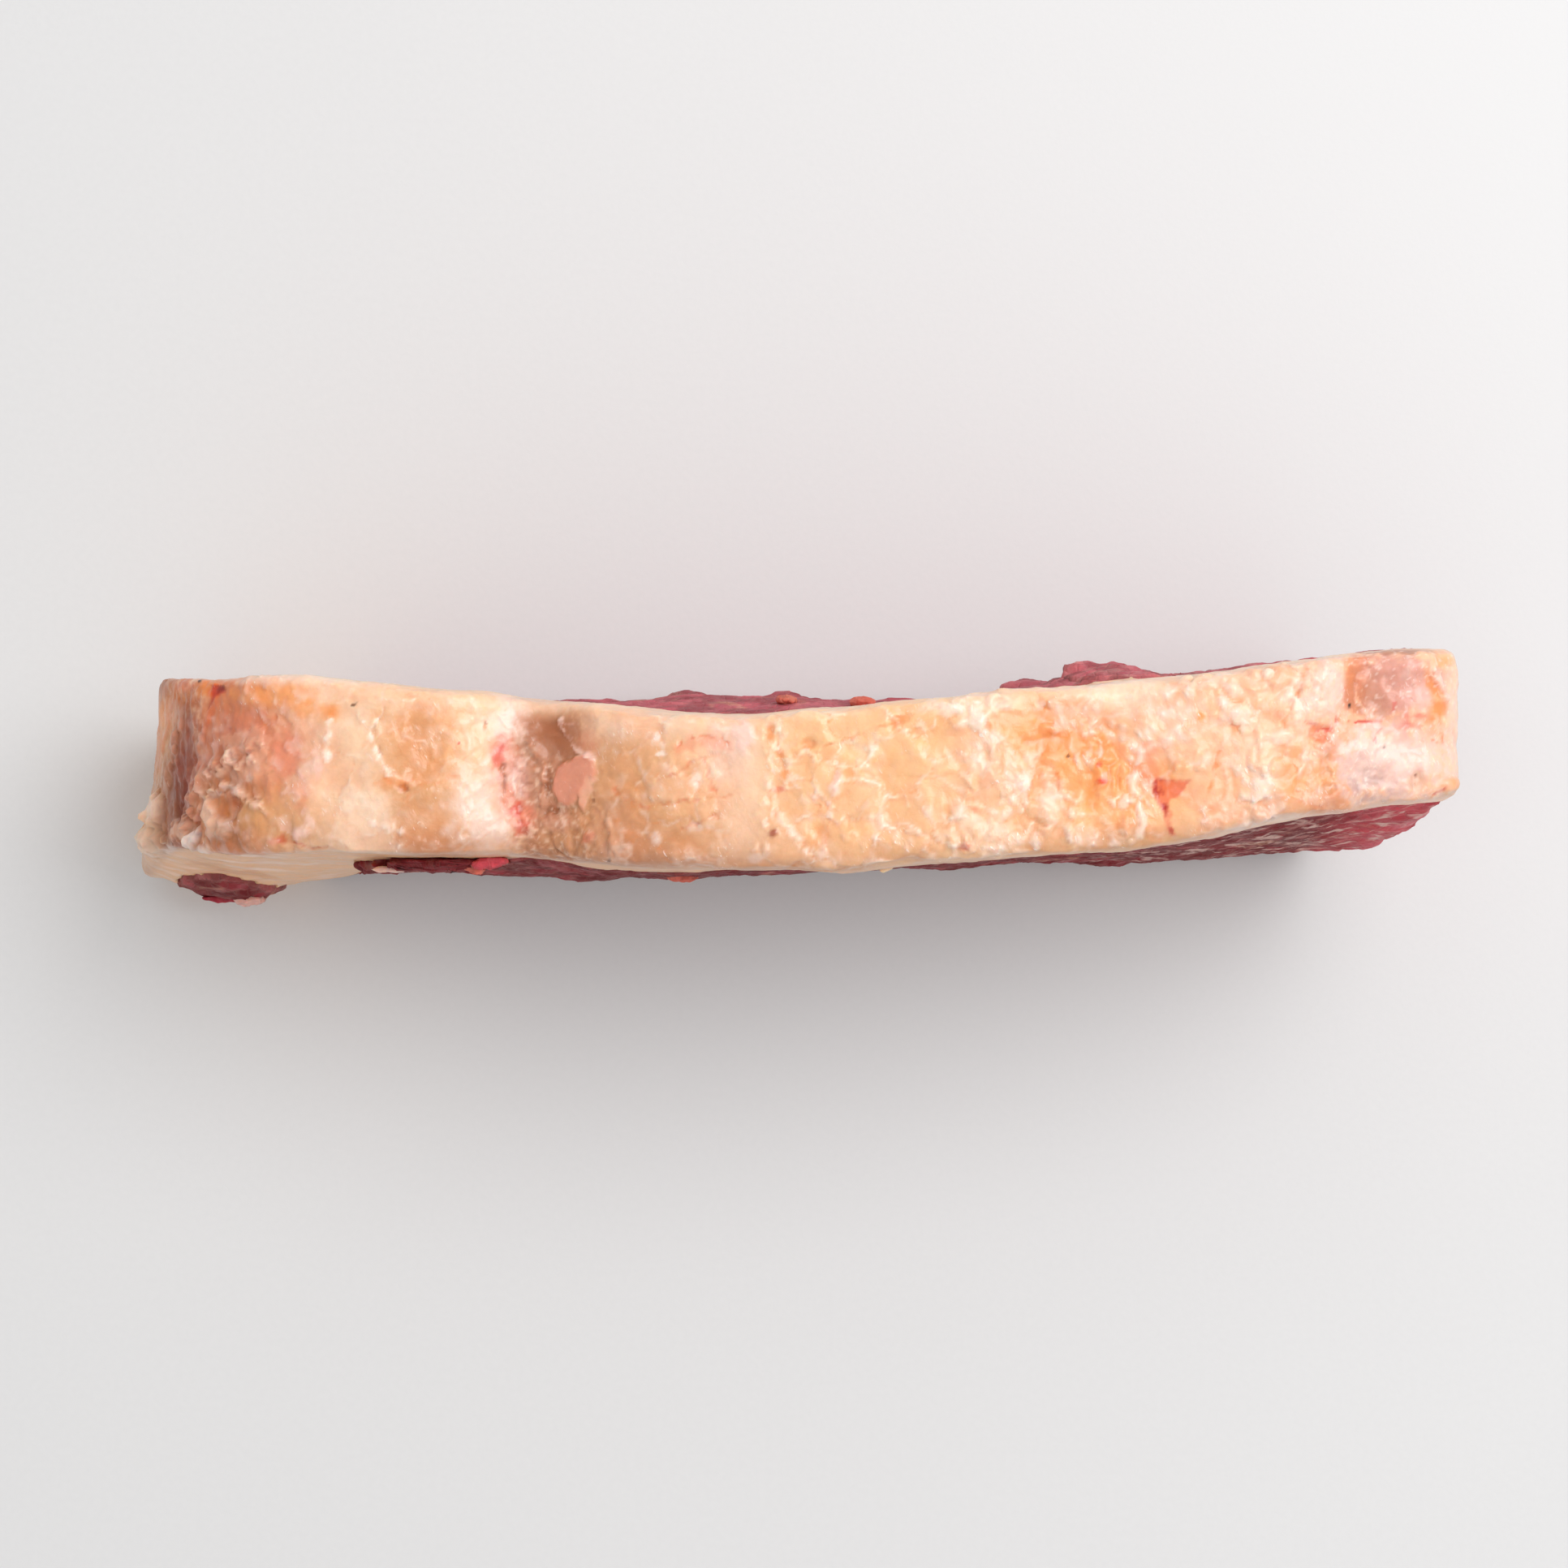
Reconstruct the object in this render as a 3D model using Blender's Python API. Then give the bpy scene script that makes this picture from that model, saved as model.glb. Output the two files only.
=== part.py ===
"""Raw sirloin steak standing on its lean edge, fat cap up. Blender 4.5, metres, +Z up.

X runs from the tail (-X) to the chine end (+X), Y across the thickness between the two
cut faces, and Z from the lean edge that rests on the board up to the fat cap. The whole
steak is first shaped as one blank, and the muscles are then parted from the fat along
outlines drawn on the cut face, so that every layer runs right through the thickness.
"""

import math

import bmesh
import bpy
from mathutils import Vector, noise

MM = 0.001

# Driving dimensions, in millimetres.
LENGTH = 214.0
THICKNESS = 26.6
HEIGHT = 84.0
EDGE_RADIUS = 2.0
SEAM_GAP = 0.3
HALF_LENGTH = LENGTH / 2
HALF_THICKNESS = THICKNESS / 2

# Cells of the blank along the length, the thickness and the height.
CELLS = (64, 8, 18)

# Lines along the steak: share of the half length, then the value there.
# Height of the fat cap's crest, as a share of HEIGHT. The dip at -0.4 is the valley
# across the cap, and the one past 0.8 is the bare step at the chine end.
CREST_LINE = (
    (-1.0, 0.50), (-0.96, 0.63), (-0.89, 0.76), (-0.79, 0.84), (-0.65, 0.885),
    (-0.53, 0.885), (-0.46, 0.86), (-0.41, 0.835), (-0.36, 0.855), (-0.27, 0.92),
    (-0.12, 0.965), (0.10, 0.99), (0.28, 1.0), (0.42, 0.985), (0.50, 0.972),
    (0.60, 0.985), (0.74, 0.985), (0.81, 0.965), (0.86, 0.94), (0.94, 0.93), (1.0, 0.88),
)
# Height of the underside, as a share of HEIGHT. It lies flat on the board between the ends.
UNDERSIDE_LINE = ((-1.0, 0.05), (-0.97, 0.02), (-0.93, 0.0), (0.88, 0.0), (0.95, 0.02), (1.0, 0.06))
# Sideways sway of the middle plane at the crest and at the underside, in THICKNESS.
CREST_SWAY = (
    (-1.0, 0.08), (-0.62, 0.035), (-0.42, -0.012), (-0.23, -0.085), (0.02, -0.09), (0.20, -0.045),
    (0.39, 0.03), (0.51, 0.07), (0.63, 0.13), (0.76, 0.235), (0.88, 0.285), (1.0, 0.3),
)
UNDERSIDE_SWAY = ((-1.0, -0.17), (-0.8, -0.15), (-0.5, -0.065), (0.0, -0.052), (0.5, -0.03), (1.0, 0.06))
# Thickness of the crest along the steak, in THICKNESS.
CREST_THICKNESS = (
    (-1.0, 1.04), (-0.62, 1.065), (-0.52, 1.01), (-0.4, 0.955),
    (0.1, 0.965), (0.4, 1.01), (0.75, 0.97), (1.0, 0.88),
)
# How far the slumping meat stands out of each cut face, in THICKNESS, along the steak.
BACK_BULGE = (
    (-1.0, 0.05), (-0.6, 0.0), (-0.35, 0.0), (-0.17, 0.066), (-0.05, 0.073), (0.05, 0.045),
    (0.16, 0.012), (0.27, 0.012), (0.39, 0.08), (0.65, 0.062), (0.8, 0.06), (0.9, 0.095), (1.0, 0.1),
)
FRONT_BULGE = (
    (-1.0, 0.0), (-0.9, 0.05), (-0.78, 0.075), (-0.68, 0.036), (-0.55, 0.05), (-0.42, 0.1),
    (-0.2, 0.08), (0.0, 0.035), (0.12, 0.02), (0.3, 0.03), (0.6, 0.045), (0.75, 0.07), (1.0, 0.1),
)
# Share of the bulge up the steak, from the underside (0) to the crest (1).
SLUMP_LINE = ((0.0, -0.1), (0.1, 0.5), (0.35, 1.0), (0.6, 0.85), (0.75, 0.4), (0.86, 0.0), (1.0, 0.0))

# How far the chine end draws in at the underside, and how far the tail end flares out
# below the crest on its front side, in millimetres.
CHINE_UNDERCUT = 16.0
TAIL_FLARE = 7.0
# Share of the half length where the undercut and the flare begin.
UNDERCUT_START = 0.45
FLARE_START = 0.8

# Muscle outlines on the cut face, closed and smoothed: shares of HALF_LENGTH and HEIGHT.
# Each runs past the blank wherever the muscle reaches the steak's own surface.
EYE_OUTLINE = (
    (-0.75, -0.14), (-0.72, 0.14), (-0.675, 0.36), (-0.585, 0.555), (-0.445, 0.68),
    (-0.23, 0.765), (0.02, 0.835), (0.285, 0.865), (0.55, 0.87), (0.78, 0.86),
    (0.93, 0.815), (1.01, 0.66), (1.04, 0.34), (1.0, -0.14), (0.1, -0.18),
)
RIM_OUTLINE = (
    (0.405, 0.765), (0.425, 0.84), (0.47, 0.865), (0.53, 0.845),
    (0.582, 0.795), (0.56, 0.745), (0.50, 0.715), (0.435, 0.72),
)
TAIL_OUTLINE = (
    (-0.995, 0.17), (-0.97, 0.28), (-0.91, 0.315), (-0.85, 0.27),
    (-0.825, 0.18), (-0.86, 0.10), (-0.93, 0.08), (-0.98, 0.105),
)
OUTLINE_STEPS = 4
PRISM_HALF_WIDTH = 32.0

# Where a small muscle swells out of the cut faces: its place in the shares above, how far
# the swelling spreads, and how far it stands at the back and at the front, in millimetres.
SWELLS = (
    ((0.467, 0.78), 7.2, 2.8, 0.8),
    ((-0.91, 0.19), 9.0, 0.8, 3.4),
)

# Relief, in millimetres: size of the lumps and how far they stand. The lumps of the crest
# fade away below it with this power of the height.
FAT_LUMP_SIZE = 9.0
FAT_LUMP_HEIGHT = 0.9
FAT_LUMP_FADE = 12
FACE_WAVE_SIZE = 24.0
FACE_WAVE_HEIGHT = 1.0

# Cleaning of the cut pieces: points closer than this are one, and shorter slivers go.
WELD_DISTANCE = 0.04
SLIVER_LENGTH = 0.02
SHARP_ANGLE = 40.0

# Colour, roughness.
FAT_LOOK = ((0.86, 0.60, 0.40), 0.38)
LEAN_LOOK = ((0.23, 0.035, 0.045), 0.42)


def eased(share):
    """Smoothstep of a share held between 0 and 1."""
    held = min(1.0, max(0.0, share))
    return held * held * (3 - 2 * held)


def slope_at(points, index):
    """Slope of a line at one of its points, from the points on both sides of it."""
    before = points[max(0, index - 1)]
    after = points[min(len(points) - 1, index + 1)]
    return (after[1] - before[1]) / (after[0] - before[0])


def along(points, place):
    """Value of a smooth line through the points, at a place along it."""
    last = len(points) - 2
    index = next((i for i in range(last) if place < points[i + 1][0]), last)
    (x0, y0), (x1, y1) = points[index], points[index + 1]
    span = x1 - x0
    t = min(1.0, max(0.0, (place - x0) / span))
    rise0 = slope_at(points, index) * span
    rise1 = slope_at(points, index + 1) * span
    return (
        (2 * t**3 - 3 * t**2 + 1) * y0
        + (t**3 - 2 * t**2 + t) * rise0
        + (3 * t**2 - 2 * t**3) * y1
        + (t**3 - t**2) * rise1
    )


def rounded_box(point):
    """Moves a point of the plain box onto a box of the same size with rounded edges."""
    half = Vector((HALF_LENGTH, HALF_THICKNESS, HEIGHT / 2))
    core = Vector([
        min(reach - EDGE_RADIUS, max(EDGE_RADIUS - reach, value))
        for value, reach in zip(point, half)
    ])
    outward = point - core
    return core + outward.normalized() * EDGE_RADIUS if outward.length else point


def swelling(x, z, side):
    """How far the small muscles stand out of this side's cut face, in millimetres."""
    stand = 0.0
    for (x_share, z_share), spread, back, front in SWELLS:
        away = math.hypot(x - x_share * HALF_LENGTH, z - z_share * HEIGHT) / spread
        stand += (back if side > 0 else front) * math.exp(-(away**4))
    return stand


def relief(x, height_share, side, z):
    """Sideways and upward offset of the surface, in millimetres."""
    across = side * THICKNESS
    waves = noise.fractal(Vector((x, across, z)) / FACE_WAVE_SIZE, 1.0, 2.0, 2)
    sideways = side**3 * FACE_WAVE_HEIGHT * waves + side**5 * swelling(x, z, side)
    lumps = noise.fractal(Vector((x, across, 0.0)) / FAT_LUMP_SIZE, 0.8, 2.0, 3)
    return sideways, FAT_LUMP_HEIGHT * lumps * height_share**FAT_LUMP_FADE


def steak_shape(point):
    """Moves a point of the rounded box to its place on the standing steak."""
    station = point.x / HALF_LENGTH
    side = point.y / HALF_THICKNESS
    height_share = point.z / HEIGHT + 0.5
    low = max(0.0, along(UNDERSIDE_LINE, station))
    z = HEIGHT * (low + (along(CREST_LINE, station) - low) * height_share)
    undercut = CHINE_UNDERCUT * eased((station - UNDERCUT_START) / (1 - UNDERCUT_START))
    flare = TAIL_FLARE * eased((-station - FLARE_START) / (1 - FLARE_START)) * (1 - side) / 2
    x = point.x - undercut * (1 - height_share) ** 1.5 - flare * (1 - height_share**2)
    sway = (
        along(UNDERSIDE_SWAY, station)
        + (along(CREST_SWAY, station) - along(UNDERSIDE_SWAY, station)) * eased(height_share)
    )
    crest_factor = 1 + (along(CREST_THICKNESS, station) - 1) * height_share**2
    bulge = along(BACK_BULGE if side > 0 else FRONT_BULGE, station) * along(SLUMP_LINE, height_share)
    half = HALF_THICKNESS * crest_factor + THICKNESS * bulge
    sideways, upward = relief(x, height_share, side, z)
    return Vector((x, sway * THICKNESS + side * half + sideways, z + upward))


def gathered(share):
    """Draws evenly spaced places from -1 to 1 a little towards both ends."""
    return 0.6 * share + 0.4 * math.sin(share * math.pi / 2)


def blank_mesh():
    """The whole steak as one closed mesh."""
    bm = bmesh.new()
    bmesh.ops.create_cube(bm, size=2.0)
    for axis, cells in enumerate(CELLS):
        edges = [e for e in bm.edges if abs((e.verts[0].co - e.verts[1].co)[axis]) > 1e-6]
        bmesh.ops.subdivide_edges(bm, edges=edges, cuts=cells - 1, use_grid_fill=True)
    half = Vector((HALF_LENGTH, HALF_THICKNESS, HEIGHT / 2))
    for vert in bm.verts:
        box_point = Vector([gathered(share) * reach for share, reach in zip(vert.co, half)])
        vert.co = steak_shape(rounded_box(box_point)) * MM
    bmesh.ops.recalc_face_normals(bm, faces=bm.faces)
    mesh = bpy.data.meshes.new("blank")
    bm.to_mesh(mesh)
    bm.free()
    return mesh


def smooth_outline(points):
    """A closed Catmull-Rom curve in millimetres, OUTLINE_STEPS places to each stretch."""
    corners = [Vector((x * HALF_LENGTH, z * HEIGHT)) for x, z in points]
    count = len(corners)
    places = []
    for i in range(count):
        a, b, c, d = (corners[(i + k) % count] for k in (-1, 0, 1, 2))
        for step in range(OUTLINE_STEPS):
            t = step / OUTLINE_STEPS
            places.append(
                0.5 * (
                    2 * b + (c - a) * t
                    + (2 * a - 5 * b + 4 * c - d) * t**2
                    + (3 * b - a - 3 * c + d) * t**3
                )
            )
    return places


def grown(places, distance):
    """The outline moved outwards by a distance, or inwards where it is negative."""
    turning = sum(a.cross(b) for a, b in zip(places, places[1:] + places[:1]))
    outward = distance * math.copysign(1.0, turning)
    moved = []
    for i, place in enumerate(places):
        tangent = (places[(i + 1) % len(places)] - places[i - 1]).normalized()
        moved.append(place + Vector((tangent.y, -tangent.x)) * outward)
    return moved


def prism(name, outline, growth):
    """A cutter: the outline, grown, extruded across the steak's thickness."""
    bm = bmesh.new()
    verts = [
        bm.verts.new(Vector((p.x, -PRISM_HALF_WIDTH, p.y)) * MM)
        for p in grown(smooth_outline(outline), growth)
    ]
    face = bm.faces.new(verts)
    extruded = bmesh.ops.extrude_face_region(bm, geom=[face])["geom"]
    bmesh.ops.translate(
        bm,
        vec=Vector((0, 2 * PRISM_HALF_WIDTH * MM, 0)),
        verts=[g for g in extruded if isinstance(g, bmesh.types.BMVert)],
    )
    bmesh.ops.recalc_face_normals(bm, faces=bm.faces)
    mesh = bpy.data.meshes.new(name)
    bm.to_mesh(mesh)
    bm.free()
    cutter = add_object(name, mesh)
    cutter.hide_render = True
    cutter.display_type = "WIRE"
    return cutter


def add_object(name, mesh):
    """A named object for the mesh, in the scene."""
    made = bpy.data.objects.new(name, mesh)
    bpy.context.scene.collection.objects.link(made)
    return made


def finish(name, look):
    """A Principled material with the piece's colour and roughness."""
    colour, roughness = look
    material = bpy.data.materials.new(name)
    material.use_nodes = True
    shader = material.node_tree.nodes["Principled BSDF"]
    shader.inputs["Base Color"].default_value = (*colour, 1.0)
    shader.inputs["Roughness"].default_value = roughness
    shader.inputs["Metallic"].default_value = 0.0
    material.diffuse_color = (*colour, 1.0)
    return material


def parted(name, blank, cutters, operation, material):
    """A node cut from a copy of the blank, with the cuts applied and its slivers cleaned."""
    worked = add_object(name, blank.copy())
    for cutter in cutters:
        cut = worked.modifiers.new(cutter.name, "BOOLEAN")
        cut.operation = operation
        cut.object = cutter
    bpy.context.view_layer.update()
    graph = bpy.context.evaluated_depsgraph_get()
    mesh = bpy.data.meshes.new_from_object(worked.evaluated_get(graph))
    bpy.data.objects.remove(worked)
    bm = bmesh.new()
    bm.from_mesh(mesh)
    bmesh.ops.remove_doubles(bm, verts=bm.verts, dist=WELD_DISTANCE * MM)
    bmesh.ops.dissolve_degenerate(bm, edges=bm.edges, dist=SLIVER_LENGTH * MM)
    bmesh.ops.triangulate(bm, faces=bm.faces)
    bm.to_mesh(mesh)
    bm.free()
    mesh.materials.clear()
    mesh.materials.append(material)
    mesh.shade_smooth()
    mesh.set_sharp_from_angle(angle=math.radians(SHARP_ANGLE))
    return add_object(name, mesh)


def centred(nodes):
    """Moves the meshes so that the origin is under the middle of the whole steak's box."""
    corners = [v.co for node in nodes for v in node.data.vertices]
    low = Vector([min(c[axis] for c in corners) for axis in range(3)])
    high = Vector([max(c[axis] for c in corners) for axis in range(3)])
    shift = Vector((-(low.x + high.x) / 2, -(low.y + high.y) / 2, -low.z))
    for node in nodes:
        for vert in node.data.vertices:
            vert.co += shift


def main():
    """Builds the steak's four nodes."""
    for old in list(bpy.data.objects):
        bpy.data.objects.remove(old)
    fat = finish("fat", FAT_LOOK)
    lean = finish("lean", LEAN_LOOK)
    blank = blank_mesh()
    muscles = {"eye_muscle": EYE_OUTLINE, "rim_muscle": RIM_OUTLINE, "tail_muscle": TAIL_OUTLINE}
    inner = {n: prism(f"{n}_cutter", o, -SEAM_GAP / 2) for n, o in muscles.items()}
    outer = {n: prism(f"{n}_clearance", o, SEAM_GAP / 2) for n, o in muscles.items()}
    nodes = [
        parted("fat_cap", blank, list(outer.values()), "DIFFERENCE", fat),
        parted("rim_muscle", blank, [inner["rim_muscle"]], "INTERSECT", lean),
        parted("tail_muscle", blank, [inner["tail_muscle"]], "INTERSECT", lean),
    ]
    eye = parted("eye_muscle", blank, [inner["eye_muscle"]], "INTERSECT", lean)
    pocketed = parted("eye_pocketed", eye.data, [outer["rim_muscle"]], "DIFFERENCE", lean)
    bpy.data.objects.remove(eye)
    pocketed.name = "eye_muscle"
    centred([*nodes, pocketed])


main()
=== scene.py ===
"""Looks of a raw sirloin steak that stands on its lean edge, fat cap up.

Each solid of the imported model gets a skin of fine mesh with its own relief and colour.
Lengths are in millimetres unless a name says otherwise, and are turned into metres when a
mesh is written. Places on the crest of the fat cap are shares: along runs from -1 at the
tail to 1 at the chine end, and across from -1 at the front cut face to 1 at the back one.
"""

import logging
import math
from dataclasses import dataclass
from enum import Enum
from functools import reduce

import bmesh
import bpy
import numpy as np
from mathutils import Matrix, Vector, noise
from mathutils.bvhtree import BVHTree


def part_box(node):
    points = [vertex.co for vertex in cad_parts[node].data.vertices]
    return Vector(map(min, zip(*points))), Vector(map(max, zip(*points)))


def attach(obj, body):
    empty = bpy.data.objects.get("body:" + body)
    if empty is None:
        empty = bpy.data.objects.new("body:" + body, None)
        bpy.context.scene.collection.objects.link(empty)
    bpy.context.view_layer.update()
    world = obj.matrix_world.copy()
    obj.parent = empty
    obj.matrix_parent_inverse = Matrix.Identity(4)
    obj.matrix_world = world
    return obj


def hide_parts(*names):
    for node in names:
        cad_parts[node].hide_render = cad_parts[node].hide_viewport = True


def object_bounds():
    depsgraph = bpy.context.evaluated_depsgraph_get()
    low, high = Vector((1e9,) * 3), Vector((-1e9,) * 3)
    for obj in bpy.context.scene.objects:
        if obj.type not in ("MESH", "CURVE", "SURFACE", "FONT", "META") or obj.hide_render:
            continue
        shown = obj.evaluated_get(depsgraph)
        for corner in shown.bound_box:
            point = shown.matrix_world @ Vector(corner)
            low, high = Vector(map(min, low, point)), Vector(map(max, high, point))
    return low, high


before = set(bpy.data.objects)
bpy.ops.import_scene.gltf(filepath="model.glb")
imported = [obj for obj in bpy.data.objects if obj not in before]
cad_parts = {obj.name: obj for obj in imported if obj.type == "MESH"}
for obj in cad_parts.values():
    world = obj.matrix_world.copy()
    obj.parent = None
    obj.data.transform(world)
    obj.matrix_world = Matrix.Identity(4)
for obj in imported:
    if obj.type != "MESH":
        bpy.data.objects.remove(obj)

Socket = bpy.types.NodeSocket
Triple = tuple[float, float, float]
Places = tuple[tuple[float, float], ...]

MM = 0.001
SHEEN = 0.07  # Light that a moist surface adds to its own colour.
SOFT_END = 0.03  # Half of the share along over which one zone of the crest turns into the next.
CREST_EDGE = (2.5, 6.0)  # How far down the sides the crest's marks start to fade, and end.
CAD_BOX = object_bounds()
log = logging.getLogger("steak")


class Tint(Enum):
    """Colours of the steak's surfaces, as 0 to 255 values in sRGB."""

    WHITE = (254, 238, 228)
    PALE = (250, 220, 198)
    CREAM = (246, 203, 168)
    BUTTER = (248, 199, 154)
    PEACH = (248, 197, 168)
    TAN = (222, 168, 124)
    SHADED = (200, 143, 114)
    CRUST = (214, 164, 140)
    AMBER = (247, 170, 112)
    HONEY = (240, 152, 94)
    ORANGE = (236, 118, 62)
    BLUSH = (218, 140, 106)
    FLUSH = (244, 150, 124)
    BRUISE = (222, 84, 80)
    BLOOD = (128, 20, 18)
    RUST = (158, 84, 44)
    UMBER = (58, 34, 20)
    HIDE = (166, 106, 80)
    DUSK = (142, 94, 76)
    ROSE = (226, 146, 122)
    SALMON = (228, 160, 138)
    SCARLET = (236, 96, 44)
    CRIMSON = (190, 46, 34)
    MAUVE = (222, 170, 158)
    SMOKE = (184, 142, 132)
    TISSUE = (247, 212, 202)
    LILAC = (222, 188, 178)
    LEAN = (166, 88, 94)
    LEAN_DARK = (112, 56, 66)
    LEAN_BRIGHT = (200, 102, 108)
    LEAN_PINK = (212, 132, 140)
    MAROON = (136, 84, 86)
    CHUNK = (206, 124, 112)

    @property
    def linear(self) -> np.ndarray:
        """The pigment as linear light, from 0 to 1: deeper than it looks under its sheen."""
        share = np.array(self.value) / 255
        light = np.where(share <= 0.04045, share / 12.92, ((share + 0.055) / 1.055) ** 2.4)
        return np.clip((light - SHEEN) / (1 - SHEEN), 0.004, 1)

    @property
    def rgba(self) -> tuple[float, ...]:
        """The pigment for a colour socket."""
        return (*self.linear, 1.0)


class Side(Enum):
    """The two cut faces, by the sign of Y that each one looks towards."""

    FRONT = -1
    BACK = 1


def smoothstep(low: float, high: float, value: np.ndarray) -> np.ndarray:
    """Eases from 0 at low to 1 at high, and the other way round where low is the larger."""
    share = np.clip((value - low) / (high - low), 0, 1)
    return share * share * (3 - 2 * share)


def cloud(points: np.ndarray, size: float | Triple, seed: int, octaves: int = 3) -> np.ndarray:
    """Smooth noise over the points.

    Args:
        points: Places in millimetres, one row each.
        size: Size of the blobs, one number or one for each axis.
        seed: Picks another pattern.
        octaves: Layers of ever finer noise.

    Returns:
        A value of about -1 to 1 for each point.
    """
    moved = points / np.array(size) + np.array((17.3, -9.1, 5.7)) * seed
    return np.array([noise.fractal(p, 1.0, 2.0, octaves) for p in moved.tolist()])


def strayed(points: np.ndarray, reach: float, size: float) -> np.ndarray:
    """The points moved about by up to a reach, to bend a pattern with bends of a size."""
    return points + reach * np.stack([cloud(points, size, seed) for seed in (5, 6, 7)], axis=1)


def cells(points: np.ndarray, size: Triple, seed: int) -> tuple[np.ndarray, ...]:
    """Cell pattern over the points.

    Args:
        points: Places in millimetres, one row each.
        size: Size of the cells along each axis.
        seed: Picks another pattern.

    Returns:
        How far each point is from its cell's border, 0 on the border and about 0.6 in
        the middle; a value of 0 to 1 that is the same all over a cell; and a slope
        across each cell, from about -0.5 to 0.5, in a direction of its own.
    """
    moved = points / np.array(size) + np.array((11.9, 4.3, -7.7)) * seed
    border, own, centre = [], [], []
    for place in moved.tolist():
        distances, centres = noise.voronoi(place)
        border.append(distances[1] - distances[0])
        own.append(noise.cell(centres[0] * 7.1))
        centre.append(centres[0][:])
    own = np.array(own)
    away = moved - np.array(centre)
    turn = 2 * math.pi * ((own * 7.3) % 1)
    return np.array(border), own, away[:, 0] * np.cos(turn) + away[:, 1] * np.sin(turn)


def flakes(points: np.ndarray, degrees: float, period: float, warp: float, seed: int) -> np.ndarray:
    """Overlapping layers: slow ramps that each end in a sudden, ragged edge.

    Args:
        points: Places in millimetres, one row each.
        degrees: Direction in which the layers rise, seen from above.
        period: Distance between edges.
        warp: How far the edges wander, in periods.
        seed: Picks another pattern.

    Returns:
        Height of 0 to 1 for each point.
    """
    turn = math.radians(degrees)
    rise = points[:, 0] * math.cos(turn) + points[:, 1] * math.sin(turn)
    phase = rise / period + warp * cloud(points, 1.8 * period, seed, 4)
    ramp = phase - np.floor(phase)
    return ramp * (1 - smoothstep(0.86, 1.0, ramp))


def traced(corners: np.ndarray, flat: np.ndarray) -> tuple[np.ndarray, np.ndarray]:
    """How far each point seen from above is from a path, and on which side of it.

    Args:
        corners: Places that the path runs through, one row each.
        flat: The points' x and y.

    Returns:
        The distance, and 1 for points to the left of the path or -1 to its right.
    """
    nearest = np.full(len(flat), np.inf)
    side = np.ones(len(flat))
    for start, end in zip(corners, corners[1:]):
        run = end - start
        share = np.clip(((flat - start) @ run) / (run @ run), 0, 1)
        away = flat - start - share[:, None] * run
        distance = np.linalg.norm(away, axis=1)
        left = run[0] * away[:, 1] - run[1] * away[:, 0]
        side = np.where(distance < nearest, np.sign(left), side)
        nearest = np.minimum(nearest, distance)
    return nearest, side


def enclosed(corners: np.ndarray, flat: np.ndarray) -> np.ndarray:
    """Whether each point seen from above lies inside a closed outline.

    Args:
        corners: Places round the outline, one row each, the first one again at the end.
        flat: The points' x and y.

    Returns:
        True or False for each point.
    """
    crossings = np.zeros(len(flat), int)
    for start, end in zip(corners, corners[1:]):
        run = end - start
        spans = (start[1] > flat[:, 1]) != (end[1] > flat[:, 1])
        rise = run[1] if abs(run[1]) > 1e-9 else 1e-9
        crossings += spans & (flat[:, 0] < start[0] + (flat[:, 1] - start[1]) * run[0] / rise)
    return crossings % 2 == 1


def written(bm: bmesh.types.BMesh, name: str) -> bpy.types.Mesh:
    """Turns a bmesh into a mesh, and frees it.

    Args:
        bm: The bmesh.
        name: Name of the mesh.

    Returns:
        The mesh.
    """
    mesh = bpy.data.meshes.new(name)
    bm.to_mesh(mesh)
    bm.free()
    return mesh


def linked(name: str, data: bpy.types.ID) -> bpy.types.Object:
    """Adds an object to the scene.

    Args:
        name: Name of the object.
        data: Its mesh, light or camera.

    Returns:
        The object.
    """
    thing = bpy.data.objects.new(name, data)
    bpy.context.scene.collection.objects.link(thing)
    return thing


def add_egg(bm: bmesh.types.BMesh, centre: Vector, reach: Triple, turn: float, tip: float,
            subdivisions: int) -> int:
    """Adds an egg-shaped lump.

    Args:
        bm: Where it is added.
        centre: Its middle, in metres.
        reach: Its half sizes along X, Y and Z, in millimetres.
        turn: Its turn about the vertical, in degrees.
        tip: Its turn about the line through both cut faces, in degrees.
        subdivisions: How finely it is divided.

    Returns:
        The number of its points.
    """
    spin = Matrix.Rotation(math.radians(turn), 4, "Z") @ Matrix.Rotation(math.radians(tip), 4, "Y")
    sized = Matrix.Diagonal((*(r * MM for r in reach), 1.0))
    place = Matrix.Translation(centre) @ spin @ sized
    egg = bmesh.ops.create_icosphere(bm, subdivisions=subdivisions, radius=1.0, matrix=place)
    return len(egg["verts"])


@dataclass(frozen=True)
class Patch:
    """A soft-edged area of another colour on the crest.

    Reaches are half sizes, strength is how much of the colour it takes on, softness is half of
    its edge's width as a share of its reach, and height is how far it stands up, or sinks.
    """

    along: float
    across: float
    reach_x: float
    reach_y: float
    tint: Tint
    strength: float = 1.0
    turn: float = 0.0
    softness: float = 0.5
    ragged: float = 0.35
    height: float = 0.0


@dataclass(frozen=True)
class Wash(Patch):
    """A patch that fades out widely."""

    softness: float = 0.8


@dataclass(frozen=True)
class Fleck(Patch):
    """A patch with a torn edge."""

    ragged: float = 0.6


@dataclass(frozen=True)
class Speck(Patch):
    """A tiny crisp spot."""

    softness: float = 0.3


@dataclass(frozen=True)
class Mound:
    """A raised place on the crest, or a hollow where its height is negative."""

    along: float
    across: float
    reach_x: float
    reach_y: float
    height: float
    turn: float = 0.0
    softness: float = 0.8
    ragged: float = 0.2


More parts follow.
